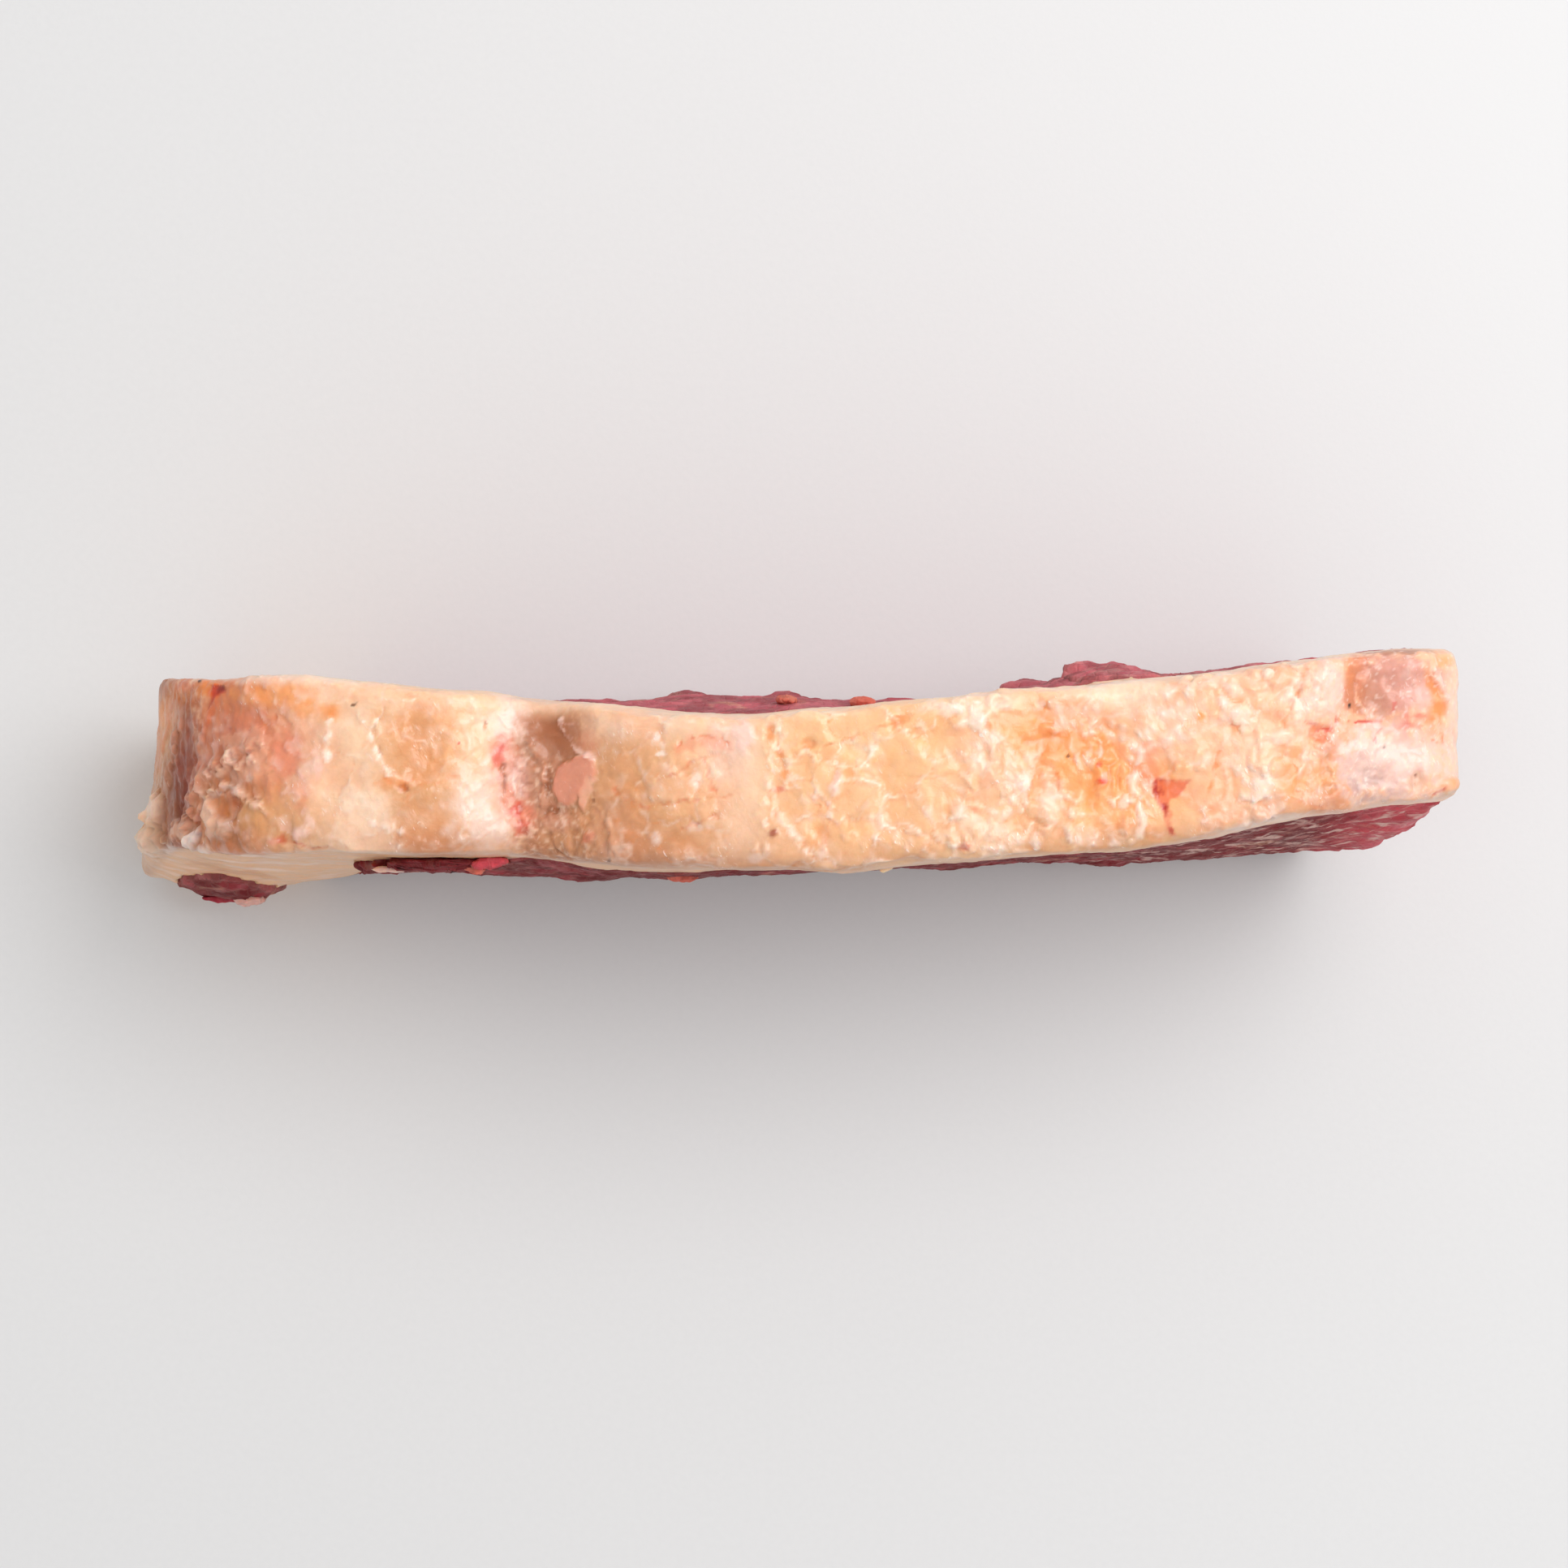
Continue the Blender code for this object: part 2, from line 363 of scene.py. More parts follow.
@dataclass(frozen=True)
class Line:
    """A vein, a crease or a ridge on the crest, through places along and across it.

    Attributes:
        path: Places that it runs through.
        width: Half of its width at its widest.
        tint: Its colour.
        strength: How much of that colour it takes on.
        height: How far it stands up, or sinks where negative.
        lip: How far the ground to its left stands above it, as at the edge of a plate.
        wander: How far it strays from its path.
    """

    path: Places
    width: float
    tint: Tint
    strength: float = 0.8
    height: float = 0.0
    lip: float = 0.0
    wander: float = 0.6


@dataclass(frozen=True)
class Sheet:
    """A thin plate or membrane that lies on the crest, with an outline of places."""

    outline: Places
    tint: Tint
    strength: float
    height: float
    soft: float = 0.5
    ragged: float = 0.35


@dataclass(frozen=True)
class Stretch:
    """A stretch of the crest, and how strong each of its features is.

    Attributes:
        low: Where it starts along the crest.
        high: Where it ends.
        facet: Tilt of its plates.
        step: Height from one plate to the next.
        septum: Height of the seams between plates.
        chip: Tilt of its small cells.
        layers: Height of its overlapping layers.
        seams: How clearly its seams are painted.
        butter: How yellow its plates are.
        white: How white its small cells are.
        pink: How pink they are.
        curd: How curdled it is, or less so than around it where negative.
    """

    low: float
    high: float
    facet: float = 0.0
    step: float = 0.0
    septum: float = 0.0
    chip: float = 0.0
    layers: float = 0.0
    seams: float = 0.0
    butter: float = 0.0
    white: float = 0.0
    pink: float = 0.0
    curd: float = 0.0

    def share(self, along: np.ndarray) -> np.ndarray:
        """1 inside the stretch and 0 outside it, with soft ends."""
        start = smoothstep(self.low - SOFT_END, self.low + SOFT_END, along)
        return start * (1 - smoothstep(self.high - SOFT_END, self.high + SOFT_END, along))


class Zone(Enum):
    """The stretches of the crest, from the tail to the chine end."""

    TAIL = Stretch(-1.2, -0.68, pink=0.5, curd=0.4)
    FACE = Stretch(-1.2, -0.87, curd=-0.4)
    CREAM = Stretch(-0.68, -0.37, 0.35, 0.10, 0.10, 0.05, seams=0.4, white=0.2, curd=0.35)
    VALLEY = Stretch(-0.39, -0.25)
    SHADED = Stretch(-0.56, 0.22)
    TAN = Stretch(-0.25, -0.07, 0.50, 0.15, 0.0, 0.08, 0.25, seams=0.7, white=0.3, curd=0.5)
    SMOOTH = Stretch(-0.07, -0.01)
    PLAIN = Stretch(-0.01, 0.24, 0.65, 0.15, 0.25, 0.06, seams=1.0, butter=1.0, white=0.3,
                    pink=0.3, curd=0.5)
    LUMPY = Stretch(0.24, 0.79, 0.55, 0.0, 0.10, seams=0.6, butter=0.5, white=1.0, pink=1.0,
                    curd=1.0)
    CHINE = Stretch(0.79, 1.2, curd=0.4)


class Weave:
    """A skin's points with the noise that makes marks on it uneven."""

    def __init__(self, points: np.ndarray) -> None:
        """Measures the noise at each point.

        Args:
            points: The skin's points in millimetres.
        """
        self.points = points
        self.jitter = cloud(points, 1.6, 3, 4)
        self.drift = cloud(points, 1.6, 23, 4)
        self.gaps = np.clip(0.5 + 1.8 * cloud(points, 2.0, 24), 0, 1)

    def near(self, corners: np.ndarray, margin: float) -> np.ndarray:
        """Finds the points near some places, seen from above.

        Args:
            corners: The places, one row each.
            margin: How far round them the points may be.

        Returns:
            The points' numbers.
        """
        flat = self.points[:, :2]
        inside = (flat > corners.min(axis=0) - margin) & (flat < corners.max(axis=0) + margin)
        return np.flatnonzero(np.all(inside, axis=1))

    def frayed(self, near: np.ndarray, reach: float) -> np.ndarray:
        """The x and y of some of the points, moved about by up to a reach."""
        stray = np.stack([self.jitter[near], self.drift[near]], axis=1)
        return self.points[near, :2] + reach * stray


class Crest:
    """The crest of the fat cap: its height, middle line and half width along the steak."""

    def __init__(self, points: np.ndarray, pitch: float = 1.5, depth: float = 4.0) -> None:
        """Measures the crest.

        Args:
            points: The fat cap's surface points in millimetres.
            pitch: Half of the length that each station covers.
            depth: How far down from its top the crest's width is measured.
        """
        self.reach = float(points[:, 0].max())
        self.stations = np.linspace(pitch - self.reach, self.reach - pitch, 110)
        rows = [points[np.abs(points[:, 0] - x) < pitch] for x in self.stations]
        self.tops = np.array([row[:, 2].max() for row in rows])
        widths = [row[row[:, 2] > top - depth, 1] for row, top in zip(rows, self.tops)]
        backs = np.array([width.max() for width in widths])
        fronts = np.array([width.min() for width in widths])
        slopes = np.minimum(np.abs(np.gradient(self.tops, self.stations)), 4.0)
        self.leans = np.hypot(1.0, slopes)
        self.middles = self._evened((backs + fronts) / 2)
        self.halves = self._evened((backs - fronts) / 2)

    @staticmethod
    def _evened(values: np.ndarray) -> np.ndarray:
        """The running mean of five neighbours."""
        return np.convolve(np.pad(values, 2, mode="edge"), np.ones(5) / 5, mode="valid")

    def _at(self, x: np.ndarray | float, values: np.ndarray) -> np.ndarray | float:
        """One of the crest's measures at each x."""
        return np.interp(x, self.stations, values)

    def below(self, points: np.ndarray) -> np.ndarray:
        """How far each point is below the top of the crest."""
        return self._at(points[:, 0], self.tops) - points[:, 2]

    def places(self, shares: Places) -> np.ndarray:
        """Turns shares along and across the crest into millimetres.

        Args:
            shares: Places in shares.

        Returns:
            The x and y of each place, one row each.
        """
        along = [share[0] * self.reach for share in shares]
        return np.array([(x, self._at(x, self.middles) + share[1] * self._at(x, self.halves))
                         for x, share in zip(along, shares)])

    def across(self, points: np.ndarray) -> np.ndarray:
        """Share across the crest of each point."""
        x = points[:, 0]
        return (points[:, 1] - self._at(x, self.middles)) / self._at(x, self.halves)

    def on(self, points: np.ndarray) -> np.ndarray:
        """1 for points on the crest, easing to 0 a few millimetres down the sides."""
        return 1 - smoothstep(*CREST_EDGE, self.below(points) / self._at(points[:, 0], self.leans))

    def within(self, area: Patch | Mound, weave: Weave) -> np.ndarray:
        """How far each point belongs to an area.

        Args:
            area: The patch or mound.
            weave: The skin's points and their noise.

        Returns:
            A share from 0 to 1 at each point.
        """
        middle = self.places(((area.along, area.across),))
        near = weave.near(middle, 2.5 * max(area.reach_x, area.reach_y))
        dx, dy = (weave.points[near, :2] - middle).T
        turn = math.radians(area.turn)
        u = (dx * math.cos(turn) + dy * math.sin(turn)) / area.reach_x
        v = (dy * math.cos(turn) - dx * math.sin(turn)) / area.reach_y
        away = np.sqrt(u * u + v * v) + area.ragged * weave.jitter[near]
        shares = np.zeros(len(weave.points))
        shares[near] = 1 - smoothstep(1 - area.softness, 1 + area.softness, away)
        return shares

    def beside(self, line: Line, weave: Weave) -> tuple[np.ndarray, np.ndarray]:
        """How far each point belongs to a line, and to the raised ground on its left.

        Args:
            line: The line.
            weave: The skin's points and their noise.

        Returns:
            Two shares from 0 to 1 at each point.
        """
        corners = self.places(line.path)
        near = weave.near(corners, 4.0)
        nearest, side = traced(corners, weave.frayed(near, line.wander))
        gaps = weave.gaps[near]
        width = line.width * (0.45 + 0.8 * gaps)
        shares = np.zeros((2, len(weave.points)))
        shares[0, near] = (1 - smoothstep(0.2 * width, width, nearest)) * (0.25 + 0.75 * gaps)
        left = smoothstep(-0.3, 0.3, nearest * side) * (1 - smoothstep(0.0, 3.0, nearest))
        shares[1, near] = left * (0.4 + 0.6 * gaps)
        return shares[0], shares[1]

    def inside(self, sheet: Sheet, weave: Weave, soft: float) -> np.ndarray:
        """How far each point lies inside a sheet's outline.

        Args:
            sheet: The sheet.
            weave: The skin's points and their noise.
            soft: Width over which the share rises at the outline.

        Returns:
            A share from 0 to 1 at each point.
        """
        corners = self.places(sheet.outline + sheet.outline[:1])
        near = weave.near(corners, 3.0)
        flat = weave.frayed(near, sheet.ragged)
        nearest, _ = traced(corners, flat)
        depth = np.where(enclosed(corners, flat), nearest, -nearest)
        shares = np.zeros(len(weave.points))
        shares[near] = smoothstep(-soft / 2, soft / 2, depth)
        return shares


class Skin:
    """A piece's fine mesh while it is sculpted and painted."""

    def __init__(self, name: str, mesh: bpy.types.Mesh) -> None:
        """Reads the mesh's points and normals.

        Args:
            name: Name of the piece.
            mesh: Its mesh, in metres.
        """
        self.name = name
        self.mesh = mesh
        self.colour = np.ones((len(mesh.vertices), 3))
        self.curd = np.zeros(len(mesh.vertices))
        self.measure()

    @staticmethod
    def _rows(source: bpy.types.bpy_prop_collection, key: str) -> np.ndarray:
        """Reads three numbers from each item of a collection.

        Args:
            source: The collection.
            key: Name of the numbers.

        Returns:
            One row for each item.
        """
        flat = np.empty(len(source) * 3, np.float32)
        source.foreach_get(key, flat)
        return flat.reshape(-1, 3).astype(float)

    def measure(self) -> None:
        """Reads points and normals from the mesh."""
        self.points = self._rows(self.mesh.vertices, "co") / MM
        self.normals = self._rows(self.mesh.vertex_normals, "vector")

    def push(self, distance: np.ndarray) -> None:
        """Moves each point along its normal, and keeps it above the board.

        Args:
            distance: How far each point goes, in millimetres.
        """
        self.points += self.normals * distance[:, None]
        self.points[:, 2] = np.maximum(self.points[:, 2], 0.0)
        self.mesh.vertices.foreach_set("co", (self.points * MM).astype(np.float32).ravel())
        self.mesh.update()
        self.measure()

    def tint(self, tint: Tint, share: np.ndarray | float) -> None:
        """Mixes a colour in, by a share for each point."""
        weight = np.broadcast_to(share, len(self.points))[:, None]
        self.colour = self.colour * (1 - weight) + tint.linear * weight

    def scale(self, factor: np.ndarray) -> None:
        """Makes each point's colour lighter or darker."""
        self.colour = np.clip(self.colour * factor[:, None], 0, 1)

    def store(self) -> None:
        """Writes the colours and the curd to the mesh, for the finish to read."""
        rgba = np.ones((len(self.points), 4), np.float32)
        rgba[:, :3] = self.colour
        layer = self.mesh.attributes.new("tint", "FLOAT_COLOR", "POINT")
        layer.data.foreach_set("color", rgba.ravel())
        layer = self.mesh.attributes.new("curd", "FLOAT", "POINT")
        layer.data.foreach_set("value", self.curd.astype(np.float32))
        self.mesh.shade_smooth()


class Graph:
    """A material's nodes, with short ways to add and join them."""

    def __init__(self, name: str) -> None:
        """Starts a material with only its output.

        Args:
            name: Name of the material.
        """
        self.material = bpy.data.materials.new(name)
        self.material.use_nodes = True
        self.tree = self.material.node_tree
        self.tree.nodes.clear()

    def add(self, kind: str, sockets: dict | None = None, **settings) -> bpy.types.Node:
        """Adds a node.

        Args:
            kind: The node's type, without the word ShaderNode.
            sockets: Values or output sockets, by input name or number.
            **settings: The node's own properties.

        Returns:
            The new node.
        """
        node = self.tree.nodes.new("ShaderNode" + kind)
        for name, value in settings.items():
            setattr(node, name, value)
        for key, value in (sockets or {}).items():
            if isinstance(value, Socket):
                self.tree.links.new(value, node.inputs[key])
            else:
                node.inputs[key].default_value = value
        return node

    def millimetres(self) -> Socket:
        """Object coordinates in millimetres."""
        place = self.add("TexCoord").outputs["Object"]
        return self.mapped(place, (1 / MM,) * 3)

    def mapped(self, place: Socket, scale: Triple) -> Socket:
        """The coordinates scaled along each axis."""
        return self.add("Mapping", {"Vector": place, "Scale": scale}).outputs[0]

    def turned(self, place: Socket, degrees: float) -> Socket:
        """The coordinates turned about the vertical."""
        turn = (0.0, 0.0, math.radians(degrees))
        return self.add("Mapping", {"Vector": place, "Rotation": turn}).outputs[0]

    def bent(self, place: Socket, scale: float) -> Socket:
        """Bends coordinates by noise.

        Args:
            place: Coordinates in millimetres.
            scale: Scale of the noise.

        Returns:
            The bent coordinates.
        """
        sockets = {"Vector": place, "Scale": scale, "Detail": 2.0}
        warp = self.add("TexNoise", sockets).outputs["Color"]
        return self.add("VectorMath", {0: place, 1: warp}, operation="ADD").outputs[0]

    def noise(self, place: Socket, size: float, detail: float = 3.0, warp: float = 0.0,
              stretch: Triple = (1.0, 1.0, 1.0)) -> Socket:
        """Noise from 0 to 1.

        Args:
            place: Coordinates in millimetres.
            size: Size of the blobs in millimetres.
            detail: Layers of finer noise.
            warp: Distortion.
            stretch: How much longer the blobs are along each axis.

        Returns:
            The noise's value.
        """
        scaled = self.mapped(place, tuple(1 / s for s in stretch))
        sockets = {"Vector": scaled, "Scale": 1 / size, "Detail": detail, "Distortion": warp}
        return self.add("TexNoise", sockets).outputs["Fac"]

    def ranged(self, value: Socket, low: float, high: float, out_low: float = 0.0,
               out_high: float = 1.0) -> Socket:
        """Maps a value's range to another, held at its ends."""
        limits = {"From Min": low, "From Max": high, "To Min": out_low, "To Max": out_high}
        return self.add("MapRange", {"Value": value, **limits}).outputs[0]

    def maths(self, operation: str, a: Socket | float, b: Socket | float = 0.0) -> Socket:
        """An operation on two values."""
        return self.add("Math", {0: a, 1: b}, operation=operation).outputs[0]

    def times(self, *values: Socket | float) -> Socket:
        """The product of values."""
        return reduce(lambda a, b: self.maths("MULTIPLY", a, b), values)

    def plus(self, *values: Socket | float) -> Socket:
        """The sum of values."""
        return reduce(lambda a, b: self.maths("ADD", a, b), values)

    def mixed(self, share: Socket | float, a: Socket | tuple, b: Socket | tuple,
              blend: str = "MIX") -> Socket:
        """Mixes two colours by a share."""
        sockets = {0: share, 6: a, 7: b}
        return self.add("Mix", sockets, data_type="RGBA", blend_type=blend).outputs[2]

    def lit(self, colour: Socket | tuple, light: Socket) -> Socket:
        """A colour made lighter or darker by a value."""
        grey = self.add("CombineColor", {0: light, 1: light, 2: light}).outputs[0]
        return self.mixed(1.0, colour, grey, "MULTIPLY")

    def stored(self, name: str) -> bpy.types.NodeOutputs:
        """What the piece's mesh carries under a name."""
        return self.add("Attribute", attribute_name=name).outputs

    def shade(self, colour: Socket, rough: Socket, height: Socket, depth: float,
              constants: dict) -> bpy.types.Material:
        """Joins everything to the shader.

        Args:
            colour: Base colour.
            rough: Roughness.
            height: Relief of the surface.
            depth: Depth of that relief in millimetres.
            constants: Values set on the shader's own sockets.

        Returns:
            The finished material.
        """
        relief = {"Height": height, "Strength": 1.0, "Distance": depth * MM}
        normal = self.add("Bump", relief).outputs[0]
        sockets = {"Base Color": colour, "Roughness": rough}
        sockets.update({"Normal": normal, "Coat Normal": normal})
        shader = self.add("BsdfPrincipled", {**constants, **sockets})
        self.add("OutputMaterial", {"Surface": shader.outputs[0]})
        return self.material


@dataclass(frozen=True)
class FatFinish:
    """Raw fat: waxy and a little translucent, curdled in places, with a moist gloss; its white
    glints are painted highlights, and the white tops of its curds are partly painted highlights.
    """

    name: str = "raw fat"
    glow: float = 0.70
    glow_depth: float = 1.3
    gloss: float = 0.35
    roughness: tuple[float, float] = (0.32, 0.48)
    grain_depth: float = 0.12
    glints: float = 0.75
    curd: float = 0.55
    curd_size: float = 1.35
    slant: float = -25.0

    def material(self) -> bpy.types.Material:
        """Builds the material."""
        graph = Graph(self.name)
        place = graph.millimetres()
        fine = graph.noise(place, 0.7)
        soft = graph.noise(place, 2.6, 3.0, 0.6)
        patches = graph.noise(place, 6.0, 2.0, 0.8)
        flecks = graph.noise(place, 1.3, 2.0, 0.8)
        streaks = graph.noise(graph.turned(place, self.slant), 0.6, 1.0, 0.5, (0.7, 2.0, 1.0))
        light = graph.plus(graph.ranged(fine, 0.3, 0.7, 0.97, 1.02),
                           graph.ranged(soft, 0.3, 0.7, -0.03, 0.03))
        colour = graph.lit(graph.stored("tint")["Color"], light)
        warmer = graph.mixed(1.0, colour, (1.0, 0.86, 0.72, 1.0), "MULTIPLY")
        colour = graph.mixed(graph.ranged(flecks, 0.42, 0.30, 0.0, 0.20), colour, warmer)
        share = graph.stored("curd")["Fac"]
        # Painted glints: thin white streaks mixed into the colour where the patches and the curd
        # share allow them, and also raised in the bump.
        where = graph.times(graph.ranged(patches, 0.46, 0.58),
                            graph.ranged(share, 0.0, 0.5, 0.15, 1.0))
        glint = graph.times(graph.ranged(streaks, 0.66, 0.70), where, self.glints)
        colour = graph.mixed(glint, colour, Tint.WHITE.rgba)
        # Curds: whitish lumps of fat, whose white tops are partly painted highlights.
        slanted = graph.turned(graph.bent(place, 0.5), self.slant)
        sockets = {"Vector": graph.mapped(slanted, (1.0, 0.7, 1.0)), "Scale": 1 / self.curd_size}
        curds = graph.add("TexVoronoi", sockets, feature="SMOOTH_F1").outputs["Distance"]
        knob = graph.times(graph.ranged(curds, 0.65, 0.10), share)
        colour = graph.mixed(graph.times(knob, self.curd), colour, Tint.WHITE.rgba)
        height = graph.plus(graph.times(soft, 0.8), graph.times(flecks, 0.6),
                            graph.times(streaks, 0.9, where), graph.times(knob, 2.5))
        rough = graph.ranged(soft, 0.35, 0.65, *self.roughness)
        return graph.shade(colour, rough, height, self.grain_depth, {
            "Subsurface Weight": self.glow, "Subsurface Radius": (1.0, 0.5, 0.3),
            "Subsurface Scale": self.glow_depth * MM, "IOR": 1.42,
            "Coat Weight": self.gloss, "Coat Roughness": 0.12,
        })


@dataclass(frozen=True)
class LeanFinish:
    """Raw muscle: cut bundles of fibres with pale sheaths, fine marbling and a wet gloss; the pale
    threads along the fibres are painted reflections.
    """

    name: str = "raw lean"
    glow: float = 0.30
    glow_depth: float = 1.8
    gloss: float = 0.05
    roughness: tuple[float, float] = (0.50, 0.65)
    bundle_size: float = 1.5
    marbling: float = 0.28
    threads: float = 0.75
    threads_from: tuple[float, float] = (35.0, 70.0)  # Where threads start and are strongest.
    grain_depth: float = 0.13

    def material(self) -> bpy.types.Material:
        """Builds the material."""
        graph = Graph(self.name)
        place = graph.millimetres()
        bent = graph.bent(place, 0.35)
        sockets = {"Vector": graph.mapped(bent, (0.75, 0.25, 0.9)), "Scale": 1 / self.bundle_size}
        edges = graph.add("TexVoronoi", sockets, feature="DISTANCE_TO_EDGE").outputs["Distance"]
        tones = graph.add("TexVoronoi", sockets).outputs["Color"]
        sheath = graph.ranged(edges, 0.0, 0.12, 1.0, 0.0)
        fine = graph.noise(place, 0.4, 4.0)
        broad = graph.noise(place, 9.0, 3.0, 0.8)
        tone = graph.add("SeparateColor", {0: tones}).outputs[0]
        light = graph.plus(graph.ranged(tone, 0.0, 1.0, 0.88, 1.10),
                           graph.ranged(fine, 0.3, 0.7, -0.09, 0.09),
                           graph.ranged(broad, 0.3, 0.7, -0.12, 0.12))
        colour = graph.lit(graph.stored("tint")["Color"], light)
        colour = graph.mixed(graph.times(sheath, 0.06), colour, Tint.MAUVE.rgba)
        veins = graph.noise(place, 12.0, 2.0, 0.5, (1.4, 1.0, 1.0))
        away = graph.maths("ABSOLUTE", graph.maths("SUBTRACT", veins, 0.5))
        where = graph.ranged(graph.noise(place, 14.0, 2.0), 0.52, 0.62)
        marble = graph.times(graph.ranged(away, 0.004, 0.026, 1.0, 0.0), where, self.marbling)
        colour = graph.mixed(marble, colour, Tint.PEACH.rgba)
        along, depth = graph.add("SeparateXYZ", {0: place}).outputs[:2]
        # Painted reflections: the fibre strands are painted pale, most at the chine end and on the
        # front face.
        threads = graph.ranged(graph.noise(bent, 1.0, 3.0, 0.5, (3.8, 4.0, 2.2)), 0.54, 0.66)
        threads = graph.times(threads, graph.ranged(along, *self.threads_from, 0.10, self.threads),
                              graph.ranged(depth, 5.0, -5.0, 0.5, 1.0))
        colour = graph.mixed(threads, colour, Tint.LILAC.rgba)
        height = graph.plus(graph.ranged(sheath, 0.0, 1.0, 1.0, 0.0), graph.times(fine, 0.6))
        rough = graph.ranged(broad, 0.35, 0.65, *self.roughness)
        return graph.shade(colour, rough, height, self.grain_depth, {
            "Subsurface Weight": self.glow, "Subsurface Radius": (1.0, 0.25, 0.2),
            "Subsurface Scale": self.glow_depth * MM, "IOR": 1.34, "Specular IOR Level": 0.15,
            "Coat Weight": self.gloss, "Coat Roughness": 0.22, "Coat IOR": 1.25,
        })


@dataclass(frozen=True)
class BoardFinish:
    """The plain pale surface that the steak stands on."""

    name: str = "pale board"
    colour: tuple[float, ...] = (0.72, 0.715, 0.715, 1.0)
    grain_depth: float = 0.02

    def material(self) -> bpy.types.Material:
        """Builds the material."""
        graph = Graph(self.name)
        fine = graph.noise(graph.millimetres(), 1.2, 2.0)
        colour = graph.lit(self.colour, graph.ranged(fine, 0.3, 0.7, 0.985, 1.0))
        rough = graph.ranged(fine, 0.3, 0.7, 0.45, 0.55)
        return graph.shade(colour, rough, fine, self.grain_depth, {"IOR": 1.4})


@dataclass(frozen=True)
class Lobe:
    """A lump joined to a solid before its skin is made.

    Attributes:
        along: Place along the steak, as a share of its half length.
        side: The cut face that it stands out of.
        reach: Its half sizes along X, Y and Z.
        sunk: How much of its reach along Y is inside the solid.
    """

    along: float
    side: Side
    reach: Triple
    sunk: float = 0.4


@dataclass
class Solid:
    """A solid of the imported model, dressed with a fine skin."""

    node: str
    slot: str
    material: bpy.types.Material
    voxel: float
    lobes: tuple[Lobe, ...] = ()
    seat: float = 3.0

    def skinned(self) -> bpy.types.Mesh:
        """The solid and its lobes as one closed mesh of even cells.

        Returns:
            The mesh, in metres.
        """
        bm = bmesh.new()
        bm.from_mesh(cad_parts[self.node].data)
        bmesh.ops.remove_doubles(bm, verts=bm.verts, dist=0.001 * MM)
        surface = [v.co.copy() for v in bm.verts]
        for lobe in self.lobes:
            side, x = lobe.side.value, lobe.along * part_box("fat_cap")[1].x
            beside = (p for p in surface if abs(p.x - x) < self.seat * MM)
            widest = max(beside, key=lambda p: side * p.y)
            y = widest.y - side * lobe.sunk * lobe.reach[1] * MM
            add_egg(bm, Vector((x, y, widest.z)), lobe.reach, 0.0, 0.0, 3)
        helper = linked(self.node + "_raw", written(bm, self.node + "_raw"))
        remesh = helper.modifiers.new("skin", "REMESH")
        remesh.mode = "VOXEL"
        remesh.voxel_size = self.voxel * MM
        bpy.context.view_layer.update()
        graph = bpy.context.evaluated_depsgraph_get()
        mesh = bpy.data.meshes.new_from_object(helper.evaluated_get(graph))
        bpy.data.objects.remove(helper)
        return mesh

    def finished(self, skin: Skin) -> bpy.types.Object:
        """Turns the sculpted and painted skin into the piece that stands for the solid.

        Args:
            skin: The skin.

        Returns:
            The piece.
        """
        piece = added(skin, self.material)
        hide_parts(self.node)
        return piece


def added(skin: Skin, material: bpy.types.Material) -> bpy.types.Object:
    """Adds a piece that rides on the steak.

    Args:
        skin: Its sculpted and painted skin.
        material: Its finish.

    Returns:
        The piece.
    """
    skin.store()
    skin.mesh.materials.clear()
    skin.mesh.materials.append(material)
    piece = linked(skin.name, skin.mesh)
    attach(piece, "root")
    log.info("%s: %d faces", skin.name, len(skin.mesh.polygons))
    return piece


